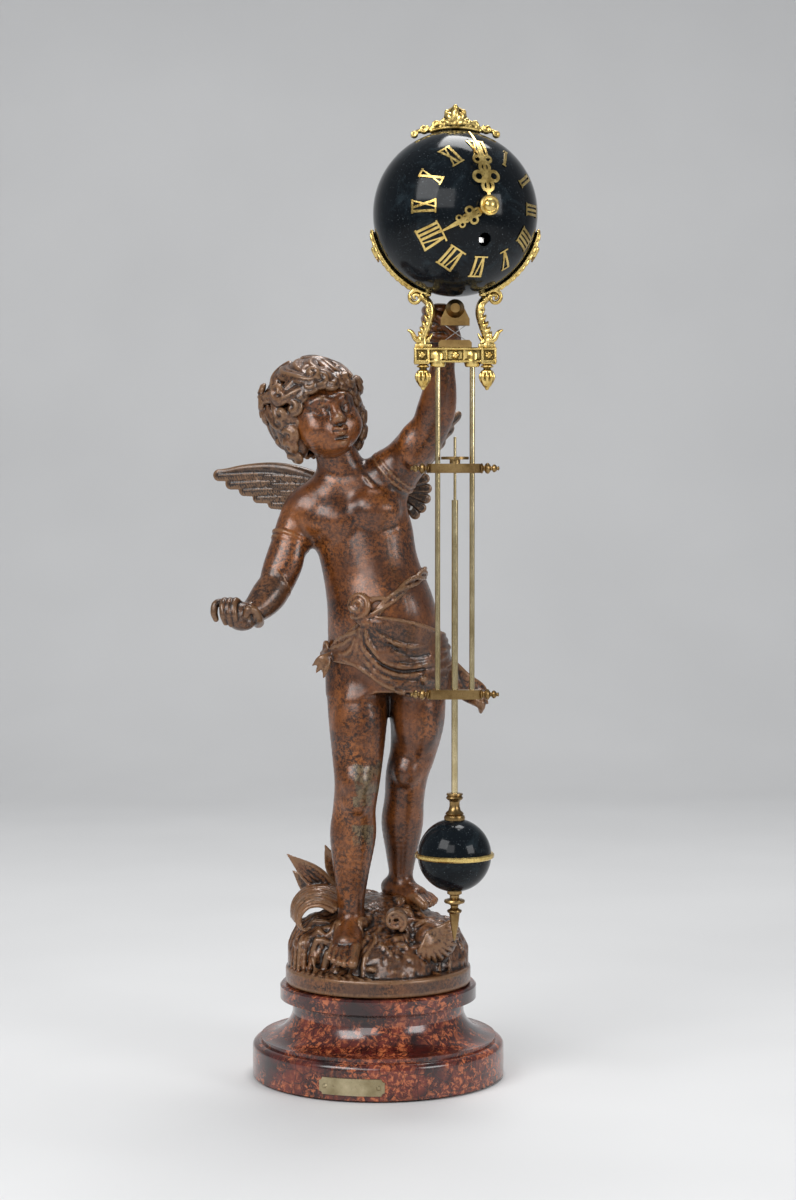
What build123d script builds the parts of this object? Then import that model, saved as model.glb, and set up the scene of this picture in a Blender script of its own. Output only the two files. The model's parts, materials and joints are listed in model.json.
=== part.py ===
from build123d import *
import math
import os

# Swinging ball clock. A winged putto on a turned base holds up a stud, and from the stud a frame swings on a
# pair of crossed springs, with a ball-shaped clock above the pivot and a long pendulum below it.
# Millimetres, +Z up, the front faces -Y, and the origin is the middle of the underside.

# Fits
SEAT = 0.3
RUN = 0.06
CAST_WALL = 4.0

# Base: felt, turned plinth and what holds the ground casting on it
FELT_T = 1.5
FELT_INSET = 4.0
BASE_R = 91.0
FOOT_H = 20.5
SHOULDER_R = 4.5
STEP_IN = 1.5
RING_H = 3.0
OGEE_H = 17.0
OGEE_LIP = 1.5
OGEE_BEND = (0.3, 0.36)
NECK_R = 62.0
NECK_H = 7.0
FLARE_H = 3.5
TOP_R = 71.0
TOP_EDGE_H = 10.4
TOP_ROUND = 1.4
TIE_R = 3.0
TIE_NUT_ACROSS = 10.0
TIE_NUT_H = 5.0
TIE_POCKET_R = 9.0
TIE_POCKET_DEPTH = 14.0
TIE_DEPTH_IN_GROUND = 26.0

# Name plate, bare, bent round the foot of the base
PLATE_AZIMUTH = -11.4
PLATE_W = 46.5
PLATE_H = 11.8
PLATE_T = 1.0
PLATE_RISE = 9.6
PLATE_NOTCH = 2.2
PIN_SPACING = 38.0
PIN_R = 0.9
PIN_HEAD_R = 1.7
PIN_HEAD_T = 0.8
PIN_CROWN_R = 1.0
PIN_DEPTH = 6.0

# Ground casting: rim, mound, leaf blades and a scroll. Heights are above the top of the base.
GROUND_INSET = 4.0
GROUND_RIM_H = 13.2
GROUND_RIM_ROUND = 2.0
MOUND_INSET = 2.0
TIE_BOSS_R = 8.0
MOUND_LUMPS = [
    (0, 12, 10.6, 52),
    (-34, 0, 17.6, 34),
    (32, 2, 14.6, 36),
    (8, -30, 6.6, 34),
    (0, 34, 12.6, 32),
]
LEAF_T = 3.0
LEAVES = [
    ((-34, 22, 40), (-64, 24, 86), 15),
    ((-40, 14, 36), (-70, 12, 70), 13),
    ((-26, 32, 40), (-48, 44, 74), 14),
]
SCROLL_AT = (13.7, -26, 56)
SCROLL_R = 8.5
SCROLL_W = 11.0

# Figure: castings through rings (x, y, height above the base's top, half width, half depth)
HIP_SEAM = 222.6
NECK_AXIS = (-10, -7, 22)
RIGHT_SHOULDER_AXIS = (-8, -5, -18)
LEFT_SHOULDER_AXIS = (10, -6, 10)
NECK_RING = (-26, 1, 378, 14, 13.5)
RIGHT_SHOULDER_RING = (-63.5, -4, 317, 13, 13)
LEFT_SHOULDER_RING = (18, -4, 375.5, 16.5, 16.5)
TORSO = [
    (6, 2, HIP_SEAM, 42, 30),
    (5, 0, 248, 42, 32),
    (1.5, -2, 278, 40, 32),
    (-7, 0, 308, 37.5, 29.5),
    (-14, 2, 333, 40, 27.5),
    (-19, 3, 352, 37, 24.5),
    (-23, 2.5, 368, 22, 18),
    NECK_RING,
]
TORSO_HOLLOW_RINGS = 6
RIGHT_SHOULDER = [(-40, 3, 350, 20, 20), (-56, 1, 336, 16, 16), RIGHT_SHOULDER_RING]
LEFT_SHOULDER = [(-6, 3, 352, 22, 22), (9, 0, 367, 19, 19), LEFT_SHOULDER_RING]
RIGHT_LEG = [
    (-15, 2, HIP_SEAM, 21, 21),
    (-14.5, -6, 190, 21, 21),
    (-14.5, -13, 160, 19, 19),
    (-15, -16, 145, 17, 17),
    (-17, -12, 125, 16.5, 16.5),
    (-18, -10, 108, 17, 17),
    (-19, -14, 80, 13, 13),
    (-19.3, -20, 60, 10.5, 10.5),
    (-19.3, -20, 44, 9.5, 9.5),
]
RIGHT_FOOT = [
    (-18, -7, 46, 8, 8),
    (-19.5, -20, 47, 12, 12),
    (-22, -36, 38, 11.5, 8),
    (-25.5, -54, 24, 10, 5),
]
LEFT_LEG = [
    (28, 6, HIP_SEAM, 20.5, 20.5),
    (28.5, 6, 190, 20, 20),
    (25, 5, 165, 17, 17),
    (21, 5, 151, 16, 16),
    (19, 9, 132, 15, 15),
    (17.5, 14, 114, 15.5, 15.5),
    (17, 17, 92, 11.5, 11.5),
    (16.6, 18, 76, 9, 9),
    (16.6, 18, 62, 8, 8),
]
LEFT_FOOT = [(10, 24, 65, 7.5, 7.5), (18, 17, 64, 10, 10), (27, 9, 61, 9.5, 7.5), (37, 0, 58, 9, 5)]
LEG_HOLLOW_RINGS = 6
RIGHT_ARM = [
    RIGHT_SHOULDER_RING,
    (-71.5, -11, 293, 13.3, 13.3),
    (-78, -19, 281, 13, 13),
    (-84, -26, 274, 11, 11),
    (-90, -32, 270, 8.8, 8.8),
    (-97, -38, 268.5, 10.5, 10.5),
    (-103, -43, 266, 10, 7),
    (-110, -48, 261, 6, 4),
]
GRIP_AT = (44, -36)
GRIP_LOW = 468.0
GRIP_HIGH = 484.0
FIST_R = 14.5
LEFT_ARM = [
    LEFT_SHOULDER_RING,
    (29, -12, 389, 15.5, 15.5),
    (39, -20, 403, 15, 15),
    (43, -25, 420, 13.5, 13.5),
    (45, -30, 437, 10, 10),
    (45.5, -32, 446, 9.2, 9.2),
    (44.5, -35, 458, 12, 12),
    (*GRIP_AT, GRIP_LOW + 4, FIST_R, FIST_R),
    (*GRIP_AT, GRIP_HIGH, 9, 9),
]
ARM_HOLLOW_RINGS = 3
NECK = [NECK_RING, (-32, -3, 392, 14, 13.5), (-38, -6, 406, 15, 15)]
SKULL = (-45, -2, 421, 34)
HEAD_LUMPS = [(-38, -17, 412, 25), (-33, -24, 397, 12)]
NOSE = (-24, -40, 413, 4.5)
CURLS = [
    (-76, 2, 425, 13),
    (-72, 4, 405, 13),
    (-12, 6, 425, 12),
    (-18, 10, 405, 12),
    (-52, -14, 446, 14),
    (-28, -12, 446, 13),
    (-70, -12, 440, 12),
    (-42, 20, 440, 16),
    (-60, 22, 415, 15),
    (-28, 22, 412, 14),
    (-45, 24, 400, 13),
]
WING_T = 4.5
WING_PAD_R = 8.0
WING_PAD_REACH = 22.0
RIGHT_WING_ROOT = (-44, 27, 352)
RIGHT_WING_REACH = (-78, 23, 11)
RIGHT_WING_FACE = (0.28, 0.96, 0)
RIGHT_WING = [
    (-12, -14),
    (-12, 10),
    (22, 18),
    (50, 16),
    (82, 4),
    (70, -4),
    (58, -4),
    (48, -11),
    (36, -10),
    (24, -17),
]
LEFT_WING_ROOT = (8, 27, 352)
LEFT_WING_REACH = (54, 33, 71)
LEFT_WING_FACE = (-0.74, 0.52, 0.42)
LEFT_WING = [
    (-12, -12),
    (-12, 10),
    (20, 24),
    (55, 22),
    (92, 4),
    (76, -2),
    (60, -3),
    (48, -8),
    (34, -8),
    (22, -12),
]
WING_SCREW_R = 1.6
WING_SCREW_HEAD_R = 3.2
WING_SCREW_HEAD_T = 2.0
WING_SCREW_CROWN_R = 1.9
WING_SCREW_DEPTH = 26.0
CLOTH = [
    (10, 3, 206, 49, 37),
    (7, 1, 232, 47.5, 37),
    (4, -1, 258, 45.5, 37),
    (0, -2, 293, 43.5, 36),
]
CLOTH_WAIST_LOW = (-52, 246)
CLOTH_WAIST_HIGH = (52, 258)
CLOTH_HEM_HIGH = (-46, 232)
CLOTH_HEM_LOW = (56, 207)
CLOTH_TAIL = [(40, 8, 232, 11, 9), (58, 12, 212, 12, 7), (74, 16, 203, 10, 5), (86, 18, 198, 4, 3)]

# Swinging frame: the pivot is the crossing of the two springs
PEND_X = 54.0
PEND_Y = -60.0
PIVOT_RISE = 465.3
SPRING_H = 10.0
SPRING_SPREAD = 7.0
SPRING_T = 0.4
SPRING_W = 3.0
SPRING_SPLIT = 0.8
CHOP_D = 8.0
UPPER_CHOP_W = 20.0
UPPER_CHOP_H = 4.8
LOWER_CHOP_W = 23.0
LOWER_CHOP_H = 5.1
HANGER_T = 3.0
HANGER_TOP_R = 6.5
STUD_RISE = 16.8
STUD_ARM_R = 3.4
STUD_SCREW_R = 2.4
STUD_BALL_R = 4.6
STUD_PIN_PROUD = 1.6
GRIP_PIN_R = 4.0
HANGER_NUT_R = 6.5
HANGER_NUT_L = 7.0
HANGER_NUT_NOSE_R = 3.2
HANGER_SCREW_REACH = 4.9
HANGER_NUT_BORE = 5.6
BAR_W = 57.0
BAR_H = 10.5
BAR_D = 10.0
BAR_END_W = 10.5
BAR_END_PROUD = 1.2
BAR_PANEL_W = 8.8
BAR_PANEL_H = 6.3
BAR_PANEL_DEPTH = 0.8
BALL_RISE = 82.0

# Cradles and crest, in the plane of the bar round the ball's middle
CRADLE_D = 8.0
CRESCENT_T = 4.4
CRESCENT_FROM = -72.0
CRESCENT_TO = -16.0
CRADLE_X = 22.0
CRADLE_STEM_T = 5.0
CRADLE_FOOT_W = 12.0
CRADLE_FOOT_H = 7.0
CRADLE_STEM = [(0, 1), (0, 7), (-2.5, 14), (-5, 23), (-4, 30), (1, 35.5)]
CRADLE_VOLUTE_AT = (4, 34)
CRADLE_VOLUTE_R = 5.0
CRADLE_LEAF_AT = (8, 6)
CRADLE_LEAF = (5.5, 3.0)
CREST_D = 7.0
CREST_SPAN = 29.0
CREST_BAND_T = 3.6
CREST_TOP = 16.4
CREST_LEAF_W = 3.6
CREST_LEAF_ANGLES = (-64, -32, 0, 32, 64)
CREST_SCROLL_R = 4.2
CREST_SCROLL_ANGLES = (12, 20)
SCREW_R = 1.2
SCREW_HEAD_R = 2.2
SCREW_HEAD_T = 1.2
SCREW_DEPTH = 6.0
CRADLE_SCREW_ANGLE = -30.0
CREST_SCREW_ANGLE = 75.0

# Pendulum
ROD_SPREAD = 12.0
ROD_R = 1.85
ROD_SOCKET = 7.0
DROP_SPREAD = 22.2
DROP_L = 17.4
DROP_R = 5.2
DROP_STEPS = [(0.0, 0.12, 1.0), (0.12, 0.24, 0.7), (0.24, 0.38, 1.0)]
DROP_BUD = (0.38, 0.85, 0.15)
DROP_PEG_R = 1.6
DROP_PEG_L = 5.0
CROSSBAR_W = 36.0
CROSSBAR_H = 6.5
CROSSBAR_D = 8.0
UPPER_CROSSBAR_DROP = 93.8
LOWER_CROSSBAR_DROP = 251.5
FINIAL_L = 13.0
FINIAL_R = 3.9
FINIAL_STEPS = [(0.0, 0.2, 1.0), (0.2, 0.32, 0.55), (0.32, 0.5, 1.0), (0.5, 0.62, 0.5), (0.62, 0.82, 0.8)]
FINIAL_NOSE = (0.82, 0.5, 0.15)
FINIAL_PEG_R = 1.5
FINIAL_PEG_L = 4.0
RATING_BOSS_R = 3.75
RATING_BOSS_H = 2.8
RATING_DISC_R = 9.65
RATING_DISC_H = 2.0
ROD_TOP_DROP = 72.0
THIN_ROD_R = 1.0
THICK_ROD_DROP = 115.8
THICK_ROD_R = 2.25
BOB_DROP = 364.3
BOB_R = 25.8
BOB_WALL = 1.5
BOB_RING_R = 27.8
BOB_RING_H = 3.5
BOB_WEIGHT_GAP = 0.3
COLLAR_H = 19.0
COLLAR_BEAD_R = 5.5
COLLAR_WAIST_R = 3.4
COLLAR_FOOT_R = 7.2
COLLAR_FOOT_H = 4.75
COLLAR_BEAD_H = 4.75
COLLAR_LAP = 1.9
BOB_FINIAL_L = 35.0
BOB_FINIAL_DISC_R = 6.9
BOB_FINIAL_DISC_H = 3.5
BOB_FINIAL_NECK_R = 4.8
BOB_FINIAL_WAIST_R = 3.7
BOB_FINIAL_CUP_R = 5.2
BOB_FINIAL_NOSE_R = 3.4
BOB_FINIAL_TIP_R = 0.3
BOB_FINIAL_BORE = 14.0

# Ball clock. Depths are along the dial's own axis from the ball's middle.
BALL_R = 57.0
SHELL_T = 1.6
DIAL_AZIMUTH = 21.0
NUMERAL_ANGLE = 43.9
NUMERAL_H = 13.0
NUMERAL_STROKE = 1.7
NUMERAL_THIN = 1.0
NUMERAL_SERIF = 0.9
NUMERAL_T = 0.6
NUMERAL_ADVANCE = {"I": 3.0, "V": 6.6, "X": 6.6}
HOUR_TURN = 239.8
MINUTE_TURN = -2.4
HOUR_LIFT = 1.6
MINUTE_LIFT = 3.0
HAND_T = 0.8
HOUR_HAND_ANGLE = 39.0
MINUTE_HAND_ANGLE = 68.0
HAND_LACE = 0.6
LACE_RINGS = [
    (0.0, 0.42, 0.15, 0.08),
    (-0.17, 0.62, 0.14, 0.07),
    (0.17, 0.62, 0.14, 0.07),
    (0.0, 0.82, 0.14, 0.07),
    (-0.12, 1.0, 0.1, 0.05),
    (0.12, 1.0, 0.1, 0.05),
]
HAND_STEM_W = 2.2
HAND_BLADE_W = 3.4
HAND_TIP_W = 0.8
HOUR_HUB_R = 4.8
MINUTE_HUB_R = 4.0
HAND_NUT_R = 3.6
HAND_NUT_H = 3.4
HAND_NUT_FLAT_H = 1.4
HAND_NUT_CROWN_R = 1.4
HAND_NUT_BORE = 2.0
ARBOR_PROUD = 1.7
WIND_HOLE_R = 4.5
WIND_RECESS = 4.0

# Movement
PLATE_R = 42.0
MOVEMENT_PLATE_T = 2.0
BACK_PLATE_FRONT = -14.0
FRONT_PLATE_BACK = 10.0
PILLAR_RING_R = 37.0
PILLAR_ANGLES = (40, 140, 205, 335)
PILLAR_R = 3.0
PILLAR_SCREW_R = 1.8
PIVOT_R = 1.0
ARBOR_R = 1.3
GREAT_TEETH = 76
CENTRE_PINION_LEAVES = 12
GREAT_MODULE = 0.5
CENTRE_TEETH = 90
THIRD_PINION_LEAVES = 12
CENTRE_MODULE = 0.36
THIRD_TEETH = 96
ESCAPE_PINION_LEAVES = 12
THIRD_MODULE = 0.3
CANNON_LEAVES = 12
MINUTE_WHEEL_TEETH = 36
MINUTE_MODULE = 0.5
MINUTE_PINION_LEAVES = 12
HOUR_TEETH = 48
HOUR_MODULE = 0.4
MINUTE_WHEEL_ANGLE = 30.0
MINUTE_STUD_R = 1.2
WHEEL_T = 1.6
PINION_T = 4.0
CENTRE_ARBOR_R = 1.5
CENTRE_WHEEL_Z = -9.8
THIRD_WHEEL_Z = -4.0
GREAT_WHEEL_Z = 6.0
ESCAPE_WHEEL_Z = 3.0
CANNON_GAP = 1.0
HOUR_PIPE_R = 3.0
HOUR_PIPE_BORE = 1.6
ESCAPE_RISE = 24.0
ESCAPE_TEETH = 30
ESCAPE_R = 9.0
ESCAPE_TOOTH_H = 1.6
ANCHOR_RISE = 13.0
PALLET_ANGLE = 45.0
PALLET_GAP = 1.1
PALLET_W = 1.6
ANCHOR_T = 2.0
ANCHOR_HUB_R = 2.6
INNER_PENDULUM_L = 43.0
INNER_ROD_W = 1.6
INNER_BOB_R = 8.0
INNER_BOB_T = 5.0
INNER_GAP = 3.0
BARREL_R = 17.0
BARREL_WALL = 1.2
BARREL_H = 11.0
WIND_ARBOR_R = 3.0
SPRING_HUB_R = 4.0
WIND_NECK_R = 2.4
WIND_SQUARE = 3.4
WIND_SQUARE_L = 7.0
RATCHET_R = 8.0
RATCHET_TEETH = 24
RATCHET_TOOTH_H = 0.9
RATCHET_T = 1.5
CLICK_AT = (13.0, -5.0)
CLICK_HUB_R = 2.4
CLICK_STUD_R = 1.2
CLICK_ARM_W = 1.6
CLICK_GAP = 0.4
MAINSPRING_T = 0.7
MAINSPRING_TURNS = 6
MAINSPRING_PITCH = 1.6

# Heights worked out from the sizes above
FOOT_TOP = FELT_T + FOOT_H
RING_LOW = FOOT_TOP + SHOULDER_R
RING_TOP = RING_LOW + RING_H
NECK_LOW = RING_TOP + OGEE_H
NECK_TOP = NECK_LOW + NECK_H
EDGE_LOW = NECK_TOP + FLARE_H
STAND_TOP = EDGE_LOW + TOP_EDGE_H
RING_R = BASE_R - SHOULDER_R - STEP_IN
GROUND_R = TOP_R - GROUND_INSET
PIVOT_Z = STAND_TOP + PIVOT_RISE
SPRING_TOP = PIVOT_Z + SPRING_H / 2
SPRING_LOW = PIVOT_Z - SPRING_H / 2
BAR_TOP = SPRING_LOW - LOWER_CHOP_H
BAR_LOW = BAR_TOP - BAR_H
STUD_Z = PIVOT_Z + STUD_RISE
BALL_Z = PIVOT_Z + BALL_RISE
UPPER_CROSSBAR_Z = PIVOT_Z - UPPER_CROSSBAR_DROP
LOWER_CROSSBAR_Z = PIVOT_Z - LOWER_CROSSBAR_DROP
CROSSBAR_TOP = UPPER_CROSSBAR_Z + CROSSBAR_H / 2
BOB_Z = PIVOT_Z - BOB_DROP
SHELL_INNER_R = BALL_R - SHELL_T
BACK_PLATE_BACK = BACK_PLATE_FRONT - MOVEMENT_PLATE_T
FRONT_PLATE_FRONT = FRONT_PLATE_BACK + MOVEMENT_PLATE_T
CANNON_Z = FRONT_PLATE_FRONT + CANNON_GAP
HOUR_WHEEL_Z = CANNON_Z + PINION_T + 0.5
HOUR_HAND_Z = BALL_R + HOUR_LIFT
MINUTE_HAND_Z = BALL_R + MINUTE_LIFT
CENTRE_DISTANCE = (GREAT_TEETH + CENTRE_PINION_LEAVES) * GREAT_MODULE / 2
THIRD_DISTANCE = (CENTRE_TEETH + THIRD_PINION_LEAVES) * CENTRE_MODULE / 2
ESCAPE_DISTANCE = (THIRD_TEETH + ESCAPE_PINION_LEAVES) * THIRD_MODULE / 2
MOTION_DISTANCE = (CANNON_LEAVES + MINUTE_WHEEL_TEETH) * MINUTE_MODULE / 2

# Planes of the ball
ball_middle = (PEND_X, PEND_Y, BALL_Z)
dial_angle = math.radians(DIAL_AZIMUTH)
dial = Plane(
    origin=ball_middle,
    x_dir=(math.cos(dial_angle), math.sin(dial_angle), 0),
    z_dir=(math.sin(dial_angle), -math.cos(dial_angle), 0),
)
frame_plane = Plane(origin=ball_middle, x_dir=(1, 0, 0), z_dir=(0, -1, 0))
UPRIGHT = (Align.CENTER, Align.CENTER, Align.MIN)
pieces = []


def keep(builder, label):
    """Label a finished piece and put it on the list of pieces to write."""
    builder.part.label = label
    pieces.append(builder.part)
    print(label, flush=True)


def square_plane(at, along):
    """A plane at a point, facing along a direction, with its x axis as near to +X as it can be."""
    normal = Vector(*along).normalized()
    across = Vector(1, 0, 0) - normal * normal.X
    return Plane(origin=at, x_dir=across, z_dir=normal)


def upright_rod(x, y, low, high, radius, mode=Mode.ADD):
    """A vertical round length between two heights."""
    with Locations((x, y, low)):
        Cylinder(radius, high - low, align=UPRIGHT, mode=mode)


def ball(at, radius, mode=Mode.ADD):
    """A sphere at a point."""
    with Locations(at):
        Sphere(radius, mode=mode)


def on_base(x, y, rise):
    """A point of the figure, whose heights are counted from the top of the base."""
    return (x, y, STAND_TOP + rise)


def limb(rings, grow=0.0, start=None, end=None, level=False, mode=Mode.ADD):
    """Loft a casting through rings. Each ring stands square to the way to its neighbours, or lies level."""
    points = [Vector(*on_base(*ring[:3])) for ring in rings]
    sections = []
    for index, ring in enumerate(rings):
        before = points[max(index - 1, 0)]
        after = points[min(index + 1, len(points) - 1)]
        along = (0, 0, 1) if level else after - before
        if index == 0 and start is not None:
            along = start
        if index == len(rings) - 1 and end is not None:
            along = end
        with BuildSketch(square_plane(points[index], along)) as section:
            Ellipse(ring[3] + grow, ring[4] + grow)
        sections.append(section.sketch)
    loft(sections, ruled=True, mode=mode)


def place(x, y, depth):
    """A plane parallel to the dial at a point of the movement."""
    return Plane(origin=dial.from_local_coords((x, y, depth)), x_dir=dial.x_dir, z_dir=dial.z_dir)


def turned_dial(angle):
    """The dial's plane, turned clockwise on its own axis by an angle in degrees."""
    turn = math.radians(angle)
    across = dial.x_dir * math.cos(turn) - dial.y_dir * math.sin(turn)
    return Plane(origin=ball_middle, x_dir=across, z_dir=dial.z_dir)


def arbor(at, low, high, radius, mode=Mode.ADD):
    """A round length along the dial's axis."""
    with Locations(place(*at, low)):
        Cylinder(radius, high - low, align=UPRIGHT, mode=mode)


def polar(radius, angle):
    """A point at a radius and an angle in degrees."""
    return (radius * math.cos(math.radians(angle)), radius * math.sin(math.radians(angle)))


def meshing_phase(line, teeth, phase, mate_teeth):
    """The angle of a mate's first tooth so that it stands in a gap of the wheel, all in degrees."""
    return line + 180 - teeth / mate_teeth * (phase - line) - 180 / mate_teeth


def gear(at, low, high, teeth, module, phase, leaves=False):
    """A toothed wheel or, with leaves, a pinion with its slimmer teeth."""
    tip, crown, waist, foot = (0.8, 0.14, 0.36, 0.34) if leaves else (0.9, 0.16, 0.40, 0.50)
    pitch_r = teeth * module / 2
    half_pitch = 180 / teeth
    flank = [(-1.35, -foot), (0, -waist), (tip, -crown), (tip, crown), (0, waist), (-1.35, foot)]
    points = []
    for index in range(teeth):
        middle = phase + 360 * index / teeth
        points += [polar(pitch_r + rise * module, middle + part * half_pitch) for rise, part in flank]
    with BuildSketch(place(*at, low)) as outline:
        Polygon(*points, align=None)
    extrude(outline.sketch, amount=high - low)


def saw_wheel(at, low, high, teeth, radius, tooth_h):
    """A wheel of leaning saw teeth."""
    points = []
    for index in range(teeth):
        turn = 360 * index / teeth
        points.append(polar(radius - tooth_h, turn))
        points.append(polar(radius, turn + 36 / teeth))
        points.append(polar(radius, turn + 72 / teeth))
    with BuildSketch(place(*at, low)) as outline:
        Polygon(*points, align=None)
    extrude(outline.sketch, amount=high - low)


def radial_plane(angle, radius):
    """A plane in the bar's plane facing outwards from the ball's middle."""
    x, z = polar(radius, angle)
    outward = (*polar(1, angle)[:1], 0, polar(1, angle)[1])
    return Plane(origin=(PEND_X + x, PEND_Y, BALL_Z + z), x_dir=(0, 1, 0), z_dir=outward)


def pin_plane(side, depth):
    """A plane on one of the name plate's pins, facing out of the base, at a distance from the base's axis."""
    turn = math.radians(PLATE_AZIMUTH) + side * PIN_SPACING / 2 / BASE_R
    outward = Vector(math.sin(turn), -math.cos(turn), 0)
    return Plane(origin=outward * depth + Vector(0, 0, FELT_T + PLATE_RISE), z_dir=outward)


# Gear train places and phases
barrel_at = (0, -CENTRE_DISTANCE)
centre_at = (0, 0)
third_rise = (THIRD_DISTANCE**2 - ESCAPE_DISTANCE**2 + ESCAPE_RISE**2) / (2 * ESCAPE_RISE)
third_at = (-math.sqrt(THIRD_DISTANCE**2 - third_rise**2), third_rise)
escape_at = (0, ESCAPE_RISE)
anchor_at = (0, ESCAPE_RISE + ANCHOR_RISE)
minute_at = polar(MOTION_DISTANCE, MINUTE_WHEEL_ANGLE)
third_line = math.degrees(math.atan2(third_at[1], third_at[0]))
escape_line = math.degrees(math.atan2(escape_at[1] - third_at[1], escape_at[0] - third_at[0]))
centre_pinion_phase = meshing_phase(90, GREAT_TEETH, 90, CENTRE_PINION_LEAVES)
third_pinion_phase = meshing_phase(third_line, CENTRE_TEETH, 0, THIRD_PINION_LEAVES)
escape_pinion_phase = meshing_phase(escape_line, THIRD_TEETH, 0, ESCAPE_PINION_LEAVES)
minute_wheel_phase = meshing_phase(MINUTE_WHEEL_ANGLE, CANNON_LEAVES, 0, MINUTE_WHEEL_TEETH)
hour_wheel_phase = meshing_phase(MINUTE_WHEEL_ANGLE + 180, MINUTE_PINION_LEAVES, 0, HOUR_TEETH)

# Base felt
with BuildPart() as base_felt:
    upright_rod(0, 0, 0, FELT_T, BASE_R - FELT_INSET)
keep(base_felt, "base_felt")

# Turned base
with BuildPart() as base_turning:
    with BuildSketch(Plane.XZ):
        with BuildLine():
            Polyline((0, STAND_TOP), (0, FELT_T), (BASE_R, FELT_T), (BASE_R, FOOT_TOP))
            round_end = (BASE_R - SHOULDER_R, RING_LOW)
            RadiusArc((BASE_R, FOOT_TOP), round_end, -SHOULDER_R)
            ogee_low = (RING_R - OGEE_LIP, RING_TOP)
            ogee_high = (NECK_R, NECK_LOW)
            ogee_w = ogee_low[0] - NECK_R
            ogee_middle = (NECK_R + ogee_w * OGEE_BEND[0], RING_TOP + OGEE_H * OGEE_BEND[1])
            Polyline(round_end, (RING_R, RING_LOW), (RING_R, RING_TOP), ogee_low)
            ThreePointArc(ogee_low, ogee_middle, ogee_high)
            edge_top = (TOP_R, STAND_TOP - TOP_ROUND)
            Polyline(ogee_high, (NECK_R, NECK_TOP), (TOP_R, EDGE_LOW), edge_top)
            Line(edge_top, (TOP_R - TOP_ROUND, STAND_TOP))
            Line((TOP_R - TOP_ROUND, STAND_TOP), (0, STAND_TOP))
        make_face()
    revolve(axis=Axis.Z)
    upright_rod(0, 0, FELT_T, STAND_TOP, TIE_R + SEAT, mode=Mode.SUBTRACT)
    upright_rod(0, 0, FELT_T, FELT_T + TIE_POCKET_DEPTH, TIE_POCKET_R, mode=Mode.SUBTRACT)
    for side in (-1, 1):
        with Locations(pin_plane(side, BASE_R - PIN_DEPTH)):
            Cylinder(PIN_R + RUN, PIN_DEPTH * 2, align=UPRIGHT, mode=Mode.SUBTRACT)
keep(base_turning, "base_turning")

# Tie rod and its nut
tie_nut_top = FELT_T + TIE_POCKET_DEPTH
tie_top = STAND_TOP + TIE_DEPTH_IN_GROUND
with BuildPart() as tie_rod:
    upright_rod(0, 0, tie_nut_top - TIE_NUT_H - TIE_R, tie_top, TIE_R)
keep(tie_rod, "tie_rod")

with BuildPart() as tie_nut:
    with BuildSketch(Plane.XY.offset(tie_nut_top - TIE_NUT_H)):
        RegularPolygon(TIE_NUT_ACROSS / 2, 6, major_radius=False)
        Circle(TIE_R + RUN, mode=Mode.SUBTRACT)
    extrude(amount=TIE_NUT_H)
keep(tie_nut, "tie_nut")

# Name plate and its pins
plate_middle = (0, FELT_T + PLATE_RISE)
plate_low = BASE_R + RUN
with BuildPart() as name_plate:
    with BuildSketch(Plane.XZ.rotated((0, 0, PLATE_AZIMUTH))):
        with Locations(plate_middle):
            Rectangle(PLATE_W, PLATE_H)
            with GridLocations(PLATE_W, PLATE_H, 2, 2):
                Circle(PLATE_NOTCH, mode=Mode.SUBTRACT)
    extrude(amount=BASE_R + PLATE_T * 2)
    upright_rod(0, 0, 0, STAND_TOP, plate_low, mode=Mode.SUBTRACT)
    upright_rod(0, 0, 0, STAND_TOP, plate_low + PLATE_T, mode=Mode.INTERSECT)
    for side in (-1, 1):
        with Locations(pin_plane(side, BASE_R - PIN_DEPTH)):
            Cylinder(PIN_R + RUN, PIN_DEPTH * 2, align=UPRIGHT, mode=Mode.SUBTRACT)
keep(name_plate, "name_plate")

pin_seat = plate_low + PLATE_T + RUN
with BuildPart() as plate_pins:
    for side in (-1, 1):
        with Locations(pin_plane(side, pin_seat - PIN_DEPTH)):
            Cylinder(PIN_R, PIN_DEPTH, align=UPRIGHT)
        with Locations(pin_plane(side, pin_seat)):
            Cone(PIN_HEAD_R, PIN_CROWN_R, PIN_HEAD_T, align=UPRIGHT)
keep(plate_pins, "plate_pins")

# Ground casting, hollow below, with a boss for the tie rod
with BuildPart() as mound:
    for x, y, rise, radius in MOUND_LUMPS:
        ball(on_base(x, y, rise), radius)
    upright_rod(0, 0, STAND_TOP, STAND_TOP + BASE_R, GROUND_R - MOUND_INSET, mode=Mode.INTERSECT)

with BuildPart() as ground_hollow:
    for x, y, rise, radius in MOUND_LUMPS:
        ball(on_base(x, y, rise), radius - CAST_WALL)
    hollow_r = GROUND_R - MOUND_INSET - CAST_WALL
    upright_rod(0, 0, STAND_TOP, STAND_TOP + BASE_R, hollow_r, mode=Mode.INTERSECT)
    upright_rod(0, 0, STAND_TOP, STAND_TOP + GROUND_RIM_H - CAST_WALL, hollow_r)

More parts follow.
